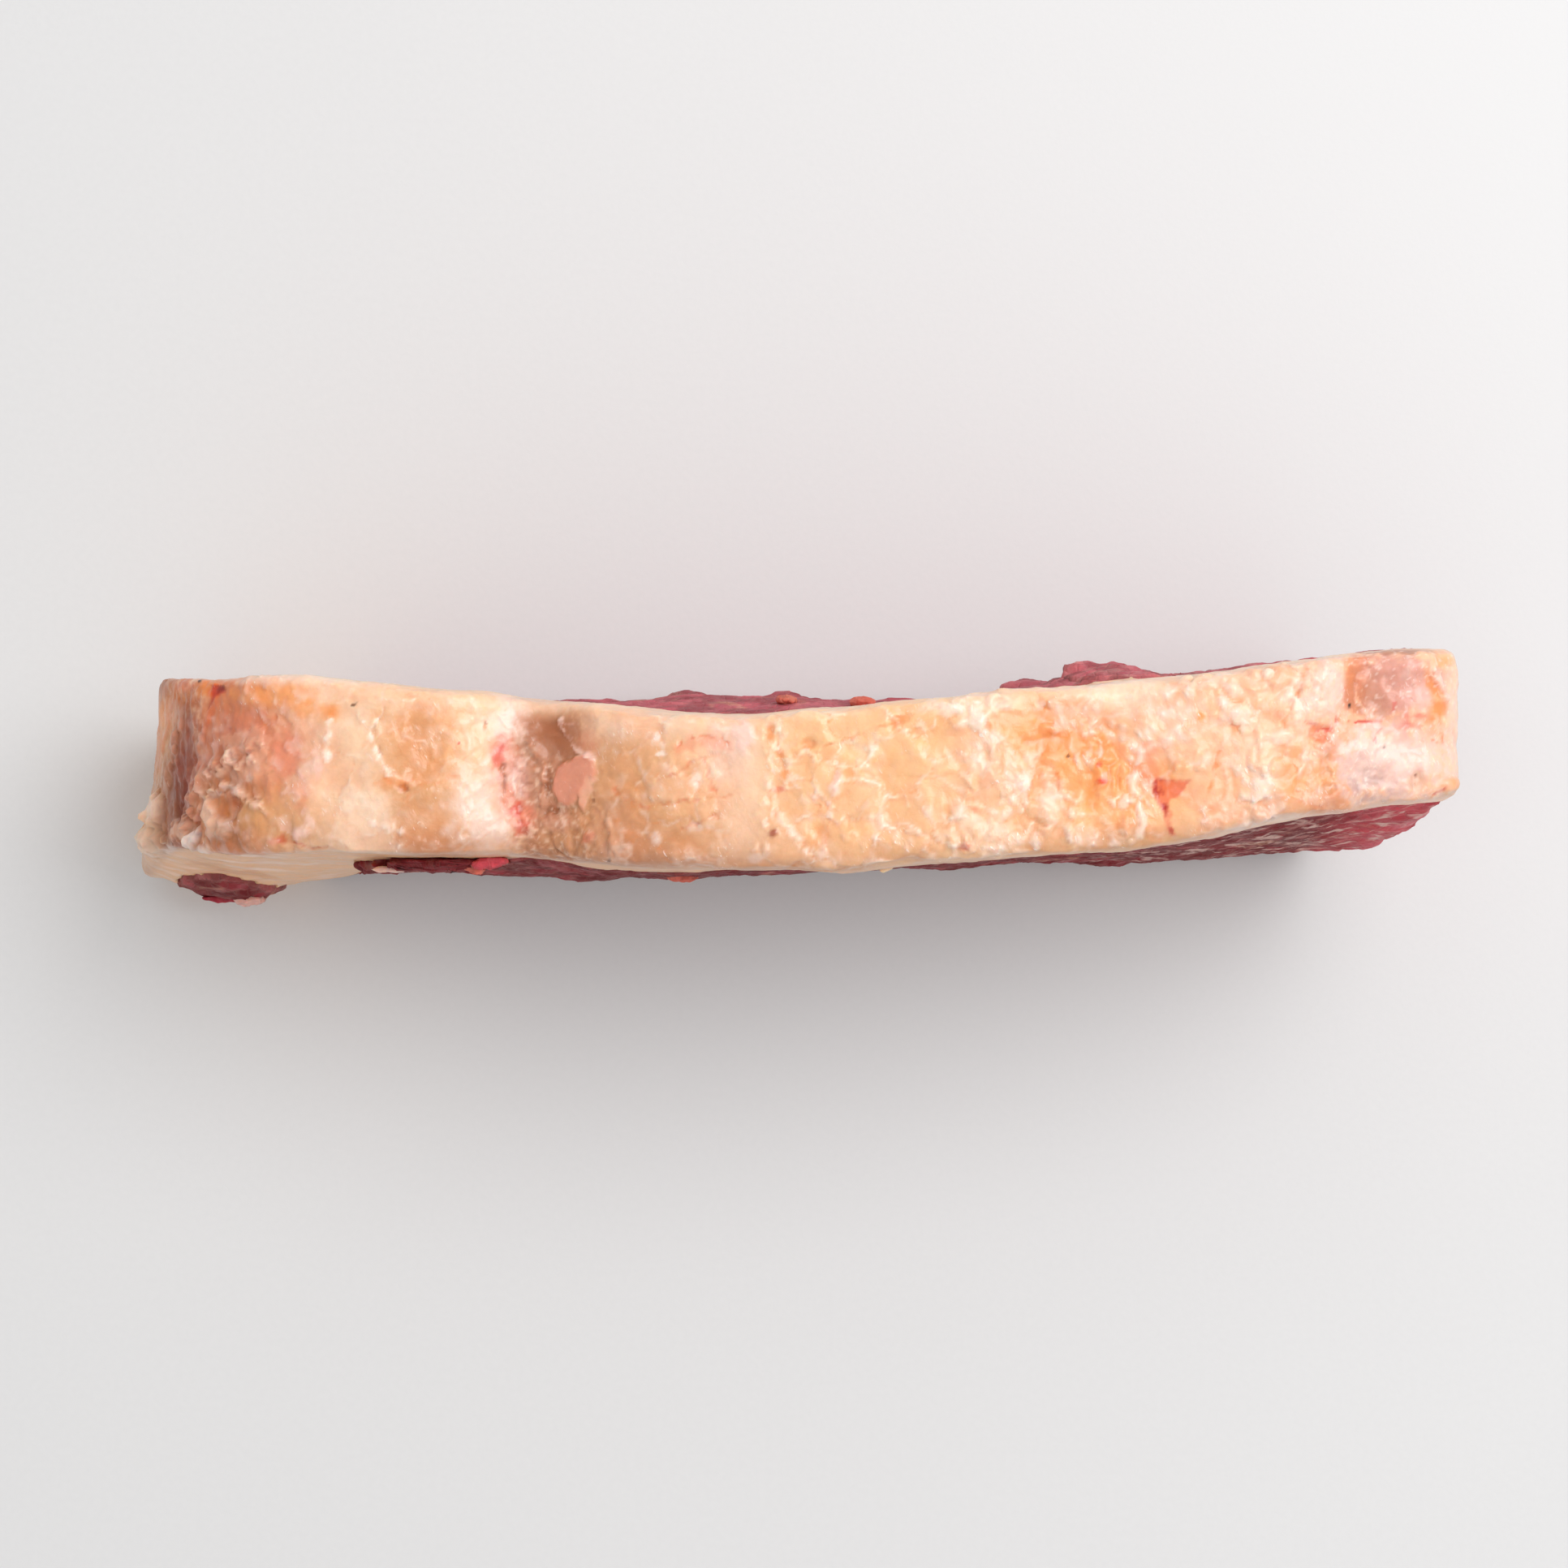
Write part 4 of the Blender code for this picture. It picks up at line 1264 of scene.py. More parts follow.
# Creases, veins, septa and the folds of the crest.
LINES = (
    Line(((-0.766, 0.22), (-0.82, 0.09), (-0.854, -0.12), (-0.868, -0.32), (-0.876, -0.51),
         (-0.88, -0.71)), 1.5, Tint.CRUST, 0.65, 0.9, 0.6, wander=0.4),
    # A sunk crease beside the tail's fold, painted dark as the fold's shadow.
    Line(((-0.872, 0.02), (-0.884, -0.21), (-0.894, -0.4), (-0.9, -0.62)), 0.8, Tint.RUST, 0.5,
         -0.6, wander=0.4),
    Line(((-0.806, -0.27), (-0.823, -0.3), (-0.851, -0.41), (-0.858, -0.61), (-0.865, -0.81)), 0.8,
         Tint.RUST, 0.5, -0.9, wander=0.4),
    Line(((-0.851, -0.37), (-0.813, -0.24), (-0.785, -0.33), (-0.766, -0.45)), 1.2, Tint.PALE, 0.5,
         0.8, wander=0.4),
    Line(((-0.775, 0.06), (-0.8, 0.02), (-0.826, -0.1), (-0.838, -0.24)), 1, Tint.PALE, 0.4, 0.6,
         wander=0.5),
    Line(((-0.905, 0.35), (-0.912, 0.05), (-0.925, -0.25)), 1, Tint.CRUST, 0.5, 0.5, wander=0.5),
    Line(((-0.793, -0.02), (-0.806, 0.14)), 0.5, Tint.PALE, 0.6, 0.4, 0.5),
    Line(((-0.8, 0.13), (-0.78, 0.1), (-0.76, 0.22)), 0.45, Tint.RUST, 0.5, -0.5),
    Line(((-0.776, -0.16), (-0.76, -0.18), (-0.742, -0.08)), 0.5, Tint.TAN, 0.5, -0.4),
    Line(((-0.81, 0.42), (-0.78, 0.4), (-0.74, 0.52)), 0.5, Tint.ROSE, 0.5, -0.4),
    Line(((-0.925, -0.38), (-0.932, -0.65), (-0.928, -0.98)), 0.8, Tint.RUST, 0.45, -0.8),
    Line(((-0.912, 0.75), (-0.93, 0.3)), 0.6, Tint.ROSE, 0.4, 0.3),
    Line(((-0.89, 0.6), (-0.905, 0.2), (-0.9, -0.2)), 0.5, Tint.MAUVE, 0.25, 0.3),
    Line(((-0.85, 0.45), (-0.862, 0.15)), 0.6, Tint.MAUVE, 0.4, 0.4),
    Line(((-0.735, -0.84), (-0.7, -0.92), (-0.664, -0.95)), 0.5, Tint.BRUISE, 0.5, -0.4),
    Line(((-0.66, 0.05), (-0.662, 0.3), (-0.655, 0.5)), 0.7, Tint.WHITE, 0.55, 0.25, 0.3),
    Line(((-0.565, -0.1), (-0.583, 0.08), (-0.6, 0.42), (-0.583, 0.6), (-0.577, 0.97)), 0.5,
         Tint.WHITE, 0.55, 0.1, 0.2),
    Line(((-0.577, 0.71), (-0.592, 0.43), (-0.578, 0.1)), 0.35, Tint.RUST, 0.25, -0.15),
    Line(((-0.6, -0.62), (-0.55, -0.74)), 0.6, Tint.WHITE, 0.5, 0.25),
    Line(((-0.552, -0.7), (-0.555, -0.92)), 0.4, Tint.WHITE, 0.6, 0.3),
    Line(((-0.575, -0.12), (-0.548, -0.22)), 0.5, Tint.HONEY, 0.6, -0.2),
    Line(((-0.548, -0.13), (-0.511, -0.14), (-0.455, -0.03)), 0.45, Tint.HONEY, 0.35, -0.15),
    Line(((-0.53, -0.2), (-0.545, -0.38)), 0.5, Tint.HONEY, 0.3, -0.1),
    Line(((-0.402, 0.15), (-0.402, -0.2)), 0.45, Tint.RUST, 0.55, -0.4),
    Line(((-0.385, 0.05), (-0.38, -0.38)), 0.3, Tint.WHITE, 0.5, 0.1),
    Line(((-0.365, 0.38), (-0.35, 0.1), (-0.345, -0.45)), 0.8, Tint.CRUST, 0.4, 0.2, 0.6),
    Line(((-0.322, 0.78), (-0.316, 0.58), (-0.296, 0.42), (-0.268, 0.32)), 0.6, Tint.TISSUE, 0.7,
         0.5, wander=0.3),
    Line(((-0.316, 0.72), (-0.29, 0.76)), 0.35, Tint.TISSUE, 0.4, 0.3),
    Line(((-0.211, -0.21), (-0.195, -0.22), (-0.171, -0.19), (-0.105, -0.08)), 0.45, Tint.ORANGE,
         0.35, -0.2, 0.2),
    Line(((-0.105, -0.08), (-0.069, -0.05)), 0.5, Tint.ORANGE, 0.35, -0.2),
    Line(((-0.24, -0.05), (-0.211, -0.21)), 0.5, Tint.ORANGE, 0.3, -0.2),
    Line(((-0.171, 0.11), (-0.144, 0.24), (-0.112, 0.43)), 0.5, Tint.ORANGE, 0.35, -0.3, 0.4),
    Line(((-0.139, 0.64), (-0.155, 0.52)), 0.5, Tint.ORANGE, 0.4, -0.3),
    Line(((-0.126, 0.72), (-0.092, 0.7), (-0.073, 0.63)), 0.4, Tint.ORANGE, 0.35, -0.3),
    Line(((-0.105, 0.4), (-0.097, 0.04), (-0.089, -0.05)), 0.5, Tint.FLUSH, 0.6, -0.3),
    Line(((-0.089, -0.28), (-0.11, -0.4), (-0.147, -0.48)), 0.5, Tint.ORANGE, 0.3, -0.4),
    Line(((-0.25, -0.35), (-0.235, -0.85)), 0.8, Tint.PEACH, 0.3, 0.35),
    Line(((-0.265, -0.3), (-0.25, -0.85)), 0.6, Tint.BLUSH, 0.4, -0.25),
    Line(((-0.023, -0.71), (-0.014, -0.46), (-0.01, -0.2), (-0.004, 0.3), (-0.006, 0.53),
         (0.004, 0.9)), 0.9, Tint.WHITE, 0.35, 0.1, 0.45, wander=1.4),
    Line(((0, 0.6), (0.01, 0.31), (0, 0.1), (-0.003, -0.31)), 0.5, Tint.AMBER, 0.4, -0.2),
    Line(((0.067, 0.49), (0.076, 0.56), (0.095, 0.58), (0.135, 0.66), (0.172, 0.74)), 0.45,
         Tint.HONEY, 0.5, -0.3, 0.4),
    Line(((0.088, 0.18), (0.08, -0.01), (0.073, -0.17), (0.08, -0.35), (0.092, -0.5),
         (0.098, -0.6)), 0.75, Tint.TISSUE, 0.75, 0.3, 0.2),
    Line(((0.03, 0.05), (0.055, -0.1), (0.073, -0.17)), 0.4, Tint.TISSUE, 0.5, 0.2),
    Line(((0.105, -0.5), (0.108, -0.75)), 0.4, Tint.WHITE, 0.6, 0.25),
    Line(((0.108, -0.58), (0.131, -0.61), (0.158, -0.7)), 0.4, Tint.WHITE, 0.6, 0.2),
    Line(((0.174, -0.02), (0.182, -0.12), (0.186, -0.3)), 0.4, Tint.WHITE, 0.5, 0.2),
    Line(((0.187, -0.58), (0.225, -0.72), (0.265, -0.84)), 0.45, Tint.WHITE, 0.6, 0.25, 0.3),
    Line(((0.144, -0.06), (0.123, -0.27), (0.106, -0.43)), 0.4, Tint.PALE, 0.5, 0.15, 0.3),
    Line(((0.14, 0.56), (0.13, 0.2), (0.1, 0.08)), 0.4, Tint.WHITE, 0.35, 0.15, 0.3),
    Line(((0.045, -0.45), (0.05, -0.75)), 0.4, Tint.WHITE, 0.4, 0.2),
    Line(((0.17, 0.08), (0.22, 0.02), (0.28, 0.05)), 0.45, Tint.HONEY, 0.2, -0.2),
    Line(((0.28, -0.1), (0.27, 0.03), (0.248, 0.3)), 0.5, Tint.WHITE, 0.55, 0.3, 0.4),
    Line(((0.33, 0.8), (0.3, 0.68), (0.255, 0.62)), 0.7, Tint.PALE, 0.5, 0.3),
    Line(((0.467, 0.16), (0.476, 0.36), (0.466, 0.5)), 0.7, Tint.TISSUE, 0.75, 0.3, 0.9),
    Line(((0.452, 0.1), (0.451, 0.42)), 0.4, Tint.TISSUE, 0.5, 0.2),
    Line(((0.466, -0.32), (0.448, -0.47)), 0.45, Tint.HONEY, 0.7, -0.2),
    Line(((0.407, -0.05), (0.409, -0.22)), 0.4, Tint.HONEY, 0.7, -0.2),
    Line(((0.41, -0.15), (0.43, -0.45), (0.42, -0.82)), 0.9, Tint.WHITE, 0.5, 0.5, 0.3),
    Line(((0.545, -0.18), (0.536, -0.06)), 0.8, Tint.FLUSH, 0.6, wander=0.4),
    Line(((0.642, 0.02), (0.63, -0.3), (0.625, -0.45)), 0.5, Tint.HONEY, 0.65, -0.25, 0.3),
    Line(((0.655, 0.42), (0.667, 0.28), (0.672, 0.2)), 0.5, Tint.HONEY, 0.6, -0.2),
    Line(((0.695, 0.25), (0.705, -0.3)), 0.7, Tint.PALE, 0.4, 0.35, 0.4),
    Line(((0.745, 0.5), (0.735, 0.2)), 0.5, Tint.HONEY, 0.3, -0.4),
    Line(((0.761, 0.8), (0.757, 0.55)), 0.5, Tint.HONEY, 0.45, -0.5),
    Line(((0.768, 0.22), (0.787, 0.06), (0.809, 0.11), (0.815, 0.2)), 0.45, Tint.BRUISE, 0.7, -0.5),
    Line(((0.834, 0.13), (0.883, 0.13)), 0.28, Tint.BRUISE, 0.85, -0.1, wander=0.3),
    Line(((0.882, 0.04), (0.876, -0.02), (0.868, -0.2)), 0.3, Tint.BRUISE, 0.55, -0.1),
    Line(((0.897, 0.34), (0.896, 0.12)), 0.25, Tint.BRUISE, 0.45, 0),
    Line(((0.845, 0.66), (0.842, 0.45), (0.86, 0.22)), 0.35, Tint.PEACH, 0.6, 0.15),
    Line(((0.8, 0.02), (0.812, -0.12)), 0.4, Tint.TISSUE, 0.6, 0.3),
    Line(((0.798, -0.27), (0.803, -0.48), (0.806, -0.7)), 0.6, Tint.TAN, 0.45, -0.4),
    Line(((0.957, 0.72), (0.968, 0.52), (0.978, 0.36)), 0.85, Tint.TISSUE, 0.8, 0.9, wander=0.3),
    Line(((0.954, -0.1), (0.974, -0.12), (0.972, -0.25), (0.955, -0.2)), 0.25, Tint.ORANGE, 0.6,
         0.1, wander=0.2),
    Line(((0.93, -0.64), (0.931, -0.82)), 0.25, Tint.RUST, 0.7, -0.3),
    Line(((0.955, -0.93), (0.972, -0.85)), 0.3, Tint.BRUISE, 0.6, -0.2),
)

# The pink leaf of tissue in the valley.
LEAF = Sheet(((-0.326, 0.12), (-0.316, 0.22), (-0.296, 0.32), (-0.278, 0.36), (-0.266, 0.3),
             (-0.264, 0.08), (-0.276, -0.16), (-0.283, -0.36), (-0.291, -0.3), (-0.29, -0.18),
             (-0.306, -0.3), (-0.322, -0.26), (-0.33, -0.1)), Tint.SALMON, 0.85, 0.9, soft=0.8,
             ragged=0.35)

# Thin plates and membranes that lie on the crest.
SHEETS = (
LEAF,
    Sheet(((-0.276, 0.06), (-0.262, 0.1), (-0.274, -0.16), (-0.283, -0.36), (-0.288, -0.2)),
          Tint.PEACH, 0.6, 0.3, ragged=0.2),
    Sheet(((-0.345, -0.42), (-0.31, -0.45), (-0.305, -0.6), (-0.335, -0.64)), Tint.CRUST, 0.6, 0.4,
          ragged=0.7),
    Sheet(((0.645, 0.6), (0.685, 0.55), (0.695, 0.3), (0.678, 0.12), (0.668, 0.32), (0.648, 0.42)),
          Tint.PALE, 0.45, 0.6, ragged=0.7),
    Sheet(((-0.83, 0.3), (-0.775, 0.46), (-0.745, 0.3), (-0.755, 0.02), (-0.8, 0.1)), Tint.PEACH,
          0.3, 0.4, soft=1.6, ragged=1),
    Sheet(((-0.8, -0.55), (-0.775, -0.4), (-0.76, -0.52), (-0.79, -0.8)), Tint.TAN, 0.35, 0.4,
          ragged=0.6),
    Sheet(((-0.185, 0.35), (-0.15, 0.3), (-0.12, 0.1), (-0.13, -0.12), (-0.18, -0.14), (-0.2, 0.1)),
          Tint.PEACH, 0.25, 0.4, soft=0.9, ragged=0.6),
)

# Blood in a notch of the crest and at the tail's back corner, over everything else.
STAINS = (
    Sheet(((0.545, -0.2), (0.574, -0.22), (0.599, -0.27), (0.592, -0.33), (0.582, -0.44),
          (0.57, -0.44), (0.567, -0.54), (0.559, -0.57), (0.552, -0.47), (0.545, -0.34)),
          Tint.SCARLET, 0.55, -0.4, ragged=0.3),
    Sheet(((0.558, -0.56), (0.569, -0.58), (0.573, -0.76), (0.578, -0.9), (0.57, -0.9),
          (0.564, -0.76)), Tint.SCARLET, 0.35, 0, ragged=0.4),
    Sheet(((-0.826, 0.93), (-0.818, 0.84), (-0.832, 0.8), (-0.846, 0.66), (-0.838, 0.8),
          (-0.842, 0.94)), Tint.CRIMSON, 0.7, -0.1, ragged=0.3),
    Sheet(((-0.822, 0.92), (-0.818, 0.86), (-0.83, 0.84), (-0.832, 0.92)), Tint.BLOOD, 0.7, 0,
          ragged=0.3),
)
STAIN_LINES = (
    Line(((0.548, -0.25), (0.551, -0.4), (0.56, -0.54)), 0.7, Tint.CRIMSON, 0.9, wander=0.3),
    Line(((0.556, -0.23), (0.558, -0.4)), 0.45, Tint.CRIMSON, 0.7, wander=0.2),
    Line(((0.566, -0.22), (0.567, -0.42)), 0.4, Tint.PEACH, 0.5, wander=0.2),
    Line(((0.559, -0.5), (0.566, -0.7), (0.575, -0.9)), 0.5, Tint.CRIMSON, 0.7, wander=0.3),
)

# Lumps and hollows of the crest.
MOUNDS = (
    Mound(-0.806, -0.49, 1.8, 1.2, -0.8, 30, ragged=0.5),
    Mound(-0.815, 0.12, 1.8, 1, -0.5),
    Mound(-0.72, -0.75, 0.9, 1.4, -0.4),
    Mound(-0.526, 0.34, 5.5, 6, -0.4),
    Mound(-0.335, 0.54, 3.2, 4.5, -0.7),
    Mound(-0.28, 0, 3, 3, 0.3),
    Mound(0.42, 0.45, 8, 4.6, -0.7, -12),
    Mound(0.49, 0.14, 2.4, 3.4, -0.8),
    Mound(0.53, -0.3, 1.2, 2.8, 0.5),
    Mound(0.605, -0.05, 2.4, 3, 0.5),
    Mound(0.93, -0.62, 1.6, 2.2, -0.4),
    Mound(0.955, -0.35, 2.2, 3, 0.3),
    Mound(0.88, -0.3, 3.4, 2.6, 0.3),
)


class FatSurface:
    """The fat cap's skin while it is shaped, with the patterns that its relief and colours follow.

    The patterns are measured once for each point, before the skin is moved.
    """

    def __init__(self, skin: Skin, crest: Crest) -> None:
        """Measures the patterns.

        Args:
            skin: The fat cap's skin.
            crest: The crest of the fat cap.
        """
        self.skin = skin
        self.crest = crest
        self.points = points = skin.points.copy()
        self.weave = Weave(points)
        self.on = crest.on(points)
        self.off = 1 - self.on
        self.along = points[:, 0] / crest.reach
        self.across = crest.across(points)
        self.scraped = self.on * (1 - 0.5 * smoothstep(0.90, 1.02, np.abs(self.across)))
        self.zones = {zone: zone.value.share(self.along) for zone in Zone}
        self.folded = self.zones[Zone.TAIL] * (1 - self.zones[Zone.FACE])
        self.crumbly = self.zones[Zone.VALLEY] * smoothstep(0.45, 0.15, self.across)
        warped = strayed(points, 1.3, 3.6)
        self.plates, self.plate_tone, plate_slope = cells(warped, (8.5, 6.5, 7.0), 1)
        self.bumps, self.bump_tone, bump_slope = cells(warped, (3.0, 4.0, 3.0), 2)
        self.facet = plate_slope * smoothstep(0.0, 0.25, self.plates)
        self.chip = bump_slope * smoothstep(0.0, 0.35, self.bumps)
        self.dome = smoothstep(0.0, 0.45, self.plates)
        self.knob = smoothstep(0.0, 0.5, self.bumps)
        self.broad = cloud(points, 7.0, 1)
        self.mild = cloud(points, 1.8, 31, 2)
        self.grit = cloud(points, 0.9, 9, 2)
        self.drawn = cloud(points, (1.1, 9.0, 7.0), 33, 2)
        self.clumps = smoothstep(-0.15, 0.25, cloud(points, 8.0, 35, 2))
        self.veils = flakes(points, 215.0, 5.6, 1.1, 14)
        self.hairs = 1 - smoothstep(0.0, 0.05, np.abs(cloud(warped, 3.4, 44, 4)))
        self.height = self._relief()

    def _over(self, feature: str) -> np.ndarray:
        """How strong one of the stretches' features is at each point."""
        return sum(getattr(zone.value, feature) * share for zone, share in self.zones.items())

    def _relief(self) -> np.ndarray:
        """The height of each point before any marks.

        Returns:
            Heights in millimetres.
        """
        zones, jitter = self.zones, self.weave.jitter
        septum = (1 - smoothstep(0.0, 0.14, self.plates)) * self.weave.gaps
        folds = 0.4 - np.abs(cloud(self.points, (3.0, 5.0, 3.0), 8))
        veils = 0.26 * self.veils + 0.14 * flakes(self.points, 160.0, 3.2, 1.3, 15)
        height = 0.40 * self.broad * (1 - 0.7 * zones[Zone.SMOOTH]) + 0.06 * self.mild
        height += self._over("facet") * self.facet + self._over("step") * (self.plate_tone - 0.5)
        height += self._over("septum") * septum + self._over("chip") * self.chip
        height += self._over("layers") * flakes(self.points, 60.0, 4.4, 1.0, 16)
        height += self.folded * veils + zones[Zone.FACE] * 0.20 * self.drawn
        height += zones[Zone.TAIL] * (0.45 * folds + 0.12 * self.knob)
        height += self.crumbly * (0.25 * jitter + 0.15 * self.grit + 0.25 * self.knob)
        height += 0.25 * (zones[Zone.VALLEY] - self.crumbly) * self.facet
        height += zones[Zone.LUMPY] * self.clumps * (0.70 * self.knob + 0.50 * self.chip)
        height += zones[Zone.CHINE] * (0.12 * self.dome + 0.20 * jitter + 0.05 * self.grit)
        return height

    def shape(self, stand: float, level: float) -> None:
        """Paints the skin, and moves its points to their relief.

        Args:
            stand: How far the skin is lifted all over.
            level: The relief's height that stays where the solid's surface is.
        """
        self.skin.tint(Tint.CREAM, 1.0)
        self._paint_walls()
        self._mark()
        self._paint_relief()
        self._curdle()
        self._stain()
        # Painted shade: the crest darkens towards its rounded front edge; the broad noise only
        # varies its tone.
        front = smoothstep(-0.5, -1.0, self.across) * self.on
        self.skin.scale((1 + 0.04 * self.broad) * (1 - 0.16 * front))
        waves = (0.22 * self.broad + 0.10 * self.mild) * self.off
        self.skin.push(stand + (self.height - level) * self.scraped + waves)

    def _paint_walls(self) -> None:
        """Colours the walls below the crest: tan at the front as painted shade, lighter towards the
        chine as painted light.
        """
        tint = self.skin.tint
        wall = smoothstep(0.0, -0.6, self.skin.normals[:, 1]) * self.off
        layers = smoothstep(0.0, 0.6, cloud(self.points, (13.0, 6.0, 2.4), 37)) * wall
        lit = smoothstep(0.35, 0.85, self.along)
        tint(Tint.PALE, 0.4 * smoothstep(-0.2, 0.4, cloud(self.points, 11.0, 51)) * self.off)
        # Painted shade: tan on the front wall, giving way to peach as painted light where the light
        # reaches it towards the chine.
        tint(Tint.TAN, 0.7 * wall * (1 - 0.8 * lit))
        tint(Tint.LILAC, 0.30 * layers * (1 - lit))
        tint(Tint.PEACH, 0.75 * wall * lit)
        tint(Tint.WHITE, 0.25 * layers * self.zones[Zone.TAIL])

    def _mark(self) -> None:
        """Paints every mark of the crest and adds it to the relief."""
        crest, weave, tint = self.crest, self.weave, self.skin.tint
        for patch in GROUNDS + EDGES + CHINE_MARKS + TAIL_MARKS + SPOTS:
            share = crest.within(patch, weave)
            tint(patch.tint, patch.strength * share * self.on)
            self.height += patch.height * share
        for mound in MOUNDS:
            self.height += mound.height * crest.within(mound, weave)
        for sheet in SHEETS:
            share = crest.inside(sheet, weave, sheet.soft)
            self.height = self.height * (1 - 0.7 * share) + sheet.height * share
            tint(sheet.tint, sheet.strength * crest.inside(sheet, weave, 0.6) * self.on)
        for line in LINES:
            share, left = crest.beside(line, weave)
            tint(line.tint, line.strength * share * self.on)
            self.height += line.height * share + line.lip * left

    def _paint_relief(self) -> None:
        """Colours that follow the relief: streaks, painted shade at the front and in sunk places,
        seams and cells.
        """
        zones, gaps, on, scraped = self.zones, self.weave.gaps, self.on, self.scraped
        tint = self.skin.tint
        streaks = smoothstep(0.1, 0.6, self.drawn) * smoothstep(0.95, 0.7, self.across)
        tint(Tint.CRUST, 0.14 * streaks * zones[Zone.FACE] * on)
        tint(Tint.RUST, 0.16 * smoothstep(-0.1, -0.6, self.drawn) * zones[Zone.FACE] * on)
        tint(Tint.TISSUE, 0.40 * smoothstep(0.3, 0.9, self.veils) * gaps * self.folded * scraped)
        tint(Tint.SHADED, 0.40 * smoothstep(0.1, -1.0, self.across) * zones[Zone.SHADED] * on)
        # Painted shade: honey in the sunk places stands for the warm shade in the creases.
        low, high = np.percentile(self.height[on > 0.9], (4, 96))
        sunk = smoothstep(0.40 * (high - low) + low, low, self.height) * scraped
        for zone in (Zone.CHINE, Zone.VALLEY, Zone.FACE):
            sunk = sunk * (1 - zones[zone])
        tint(Tint.HONEY, (0.25 + 0.15 * zones[Zone.LUMPY] + 0.15 * zones[Zone.TAIL]) * sunk)
        seams = self._over("seams") * scraped
        tint(Tint.WHITE, 0.42 * (1 - smoothstep(0.0, 0.13, self.plates)) * gaps * seams)
        tint(Tint.HONEY, 0.35 * (1 - smoothstep(0.0, 0.05, self.plates)) * (1 - gaps) * seams)
        tint(Tint.BUTTER, 0.45 * self.dome * (1 - self.plate_tone) * self._over("butter") * on)
        white = smoothstep(0.40, 0.7, self.bump_tone) * smoothstep(0.0, 0.3, self.bumps)
        tint(Tint.WHITE, 0.60 * white * self.clumps * self._over("white") * scraped)
        pink = smoothstep(0.35, 0.1, self.bump_tone) * self.knob
        tint(Tint.FLUSH, 0.14 * pink * self._over("pink") * scraped)

    def _curdle(self) -> None:
        """Curds on the crest, crumbs in the valley and threads at the chine end."""
        tint = self.skin.tint
        lumps = smoothstep(0.0, 0.4, cloud(self.points, 5.0, 47))
        self.skin.curd = self.scraped * lumps * self._over("curd")
        bare = self.crumbly * smoothstep(-0.25, -0.29, self.along) * self.on
        bare = bare * (1 - self.crest.inside(LEAF, self.weave, 0.9))
        tint(Tint.PALE, 0.45 * smoothstep(0.15, 0.5, self.grit) * bare)
        tint(Tint.HIDE, 0.35 * smoothstep(-0.15, -0.5, self.grit) * bare)
        tint(Tint.WHITE, 0.40 * self.hairs * self.zones[Zone.CHINE] * self.on)

    def _stain(self) -> None:
        """Paints the blood over everything else, and sinks it."""
        for sheet in STAINS:
            share = self.crest.inside(sheet, self.weave, 0.5)
            self.skin.tint(sheet.tint, sheet.strength * share)
            self.skin.curd = self.skin.curd * (1 - share)
            self.height += sheet.height * share
        for line in STAIN_LINES:
            share, _ = self.crest.beside(line, self.weave)
            self.skin.tint(line.tint, line.strength * share)


@dataclass
class FatCap:
    """The fat cap, with the tail's folds and the bare patch at the chine end."""

    material: bpy.types.Material
    voxel: float = 0.76
    fine_depth: float = 3.0
    smoothings: int = 3
    stand: float = 0.15
    level: float = 0.35

    def build(self) -> bpy.types.Object:
        """Builds the piece.

        Returns:
            The piece.
        """
        solid = Solid("fat_cap", "fat", self.material, self.voxel)
        mesh = solid.skinned()
        crest = Crest(Skin("fat", mesh).points)
        self._refine(mesh, crest)
        skin = Skin("fat_skin", mesh)
        FatSurface(skin, crest).shape(self.stand, self.level)
        return solid.finished(skin)

    def _refine(self, mesh: bpy.types.Mesh, crest: Crest) -> None:
        """Halves the cells near the crest and smooths the whole skin.

        Args:
            mesh: The skin's mesh.
            crest: The crest of the fat cap.
        """
        bm = bmesh.new()
        bm.from_mesh(mesh)
        depths = crest.below(np.array([f.calc_center_median()[:] for f in bm.faces]) / MM)
        faces = [f for f, depth in zip(bm.faces, depths) if depth < self.fine_depth]
        edges = list({e for f in faces for e in f.edges})
        bmesh.ops.subdivide_edges(bm, edges=edges, cuts=1, use_grid_fill=True)
        for _ in range(self.smoothings):
            bmesh.ops.smooth_vert(bm, verts=bm.verts, factor=0.5, use_axis_x=True,
                                  use_axis_y=True, use_axis_z=True)
        bm.to_mesh(mesh)
        bm.free()


# Lumps of lean that stand out of the cut faces.
EYE_LOBES = (
    Lobe(-0.29, Side.BACK, (7.0, 1.6, 4.0)),
    Lobe(-0.14, Side.BACK, (4.0, 1.6, 3.6), 0.55),
    Lobe(0.012, Side.BACK, (2.6, 2.0, 2.6), 0.5),
    Lobe(0.19, Side.BACK, (6.0, 1.2, 3.0)),
    Lobe(0.385, Side.BACK, (5.0, 1.5, 3.0), 0.5),
    Lobe(-0.29, Side.FRONT, (9.0, 1.6, 6.0), 0.6),
    Lobe(0.5, Side.FRONT, (7.0, 1.6, 5.0), 0.6),
)
RIM_LOBES = (Lobe(0.455, Side.BACK, (3.4, 1.8, 3.4), 0.6),)


@dataclass(frozen=True)
class Scrap:
    """A small lump that hangs on a cut face.

    Attributes:
        along: Place along the steak, as a share of its half length.
        height: Place of its middle, as a share of the steak's height.
        side: The cut face that it hangs on.
        reach: Its half sizes along X, Y and Z.
        tint: Its colour.
        stand: How far its middle stands out of the face.
        turn: Its turn about the vertical, in degrees.
        tip: Its turn about the line through both faces, in degrees.
    """

    along: float
    height: float
    side: Side
    reach: Triple
    tint: Tint
    stand: float = 0.0
    turn: float = 0.0
    tip: float = 0.0


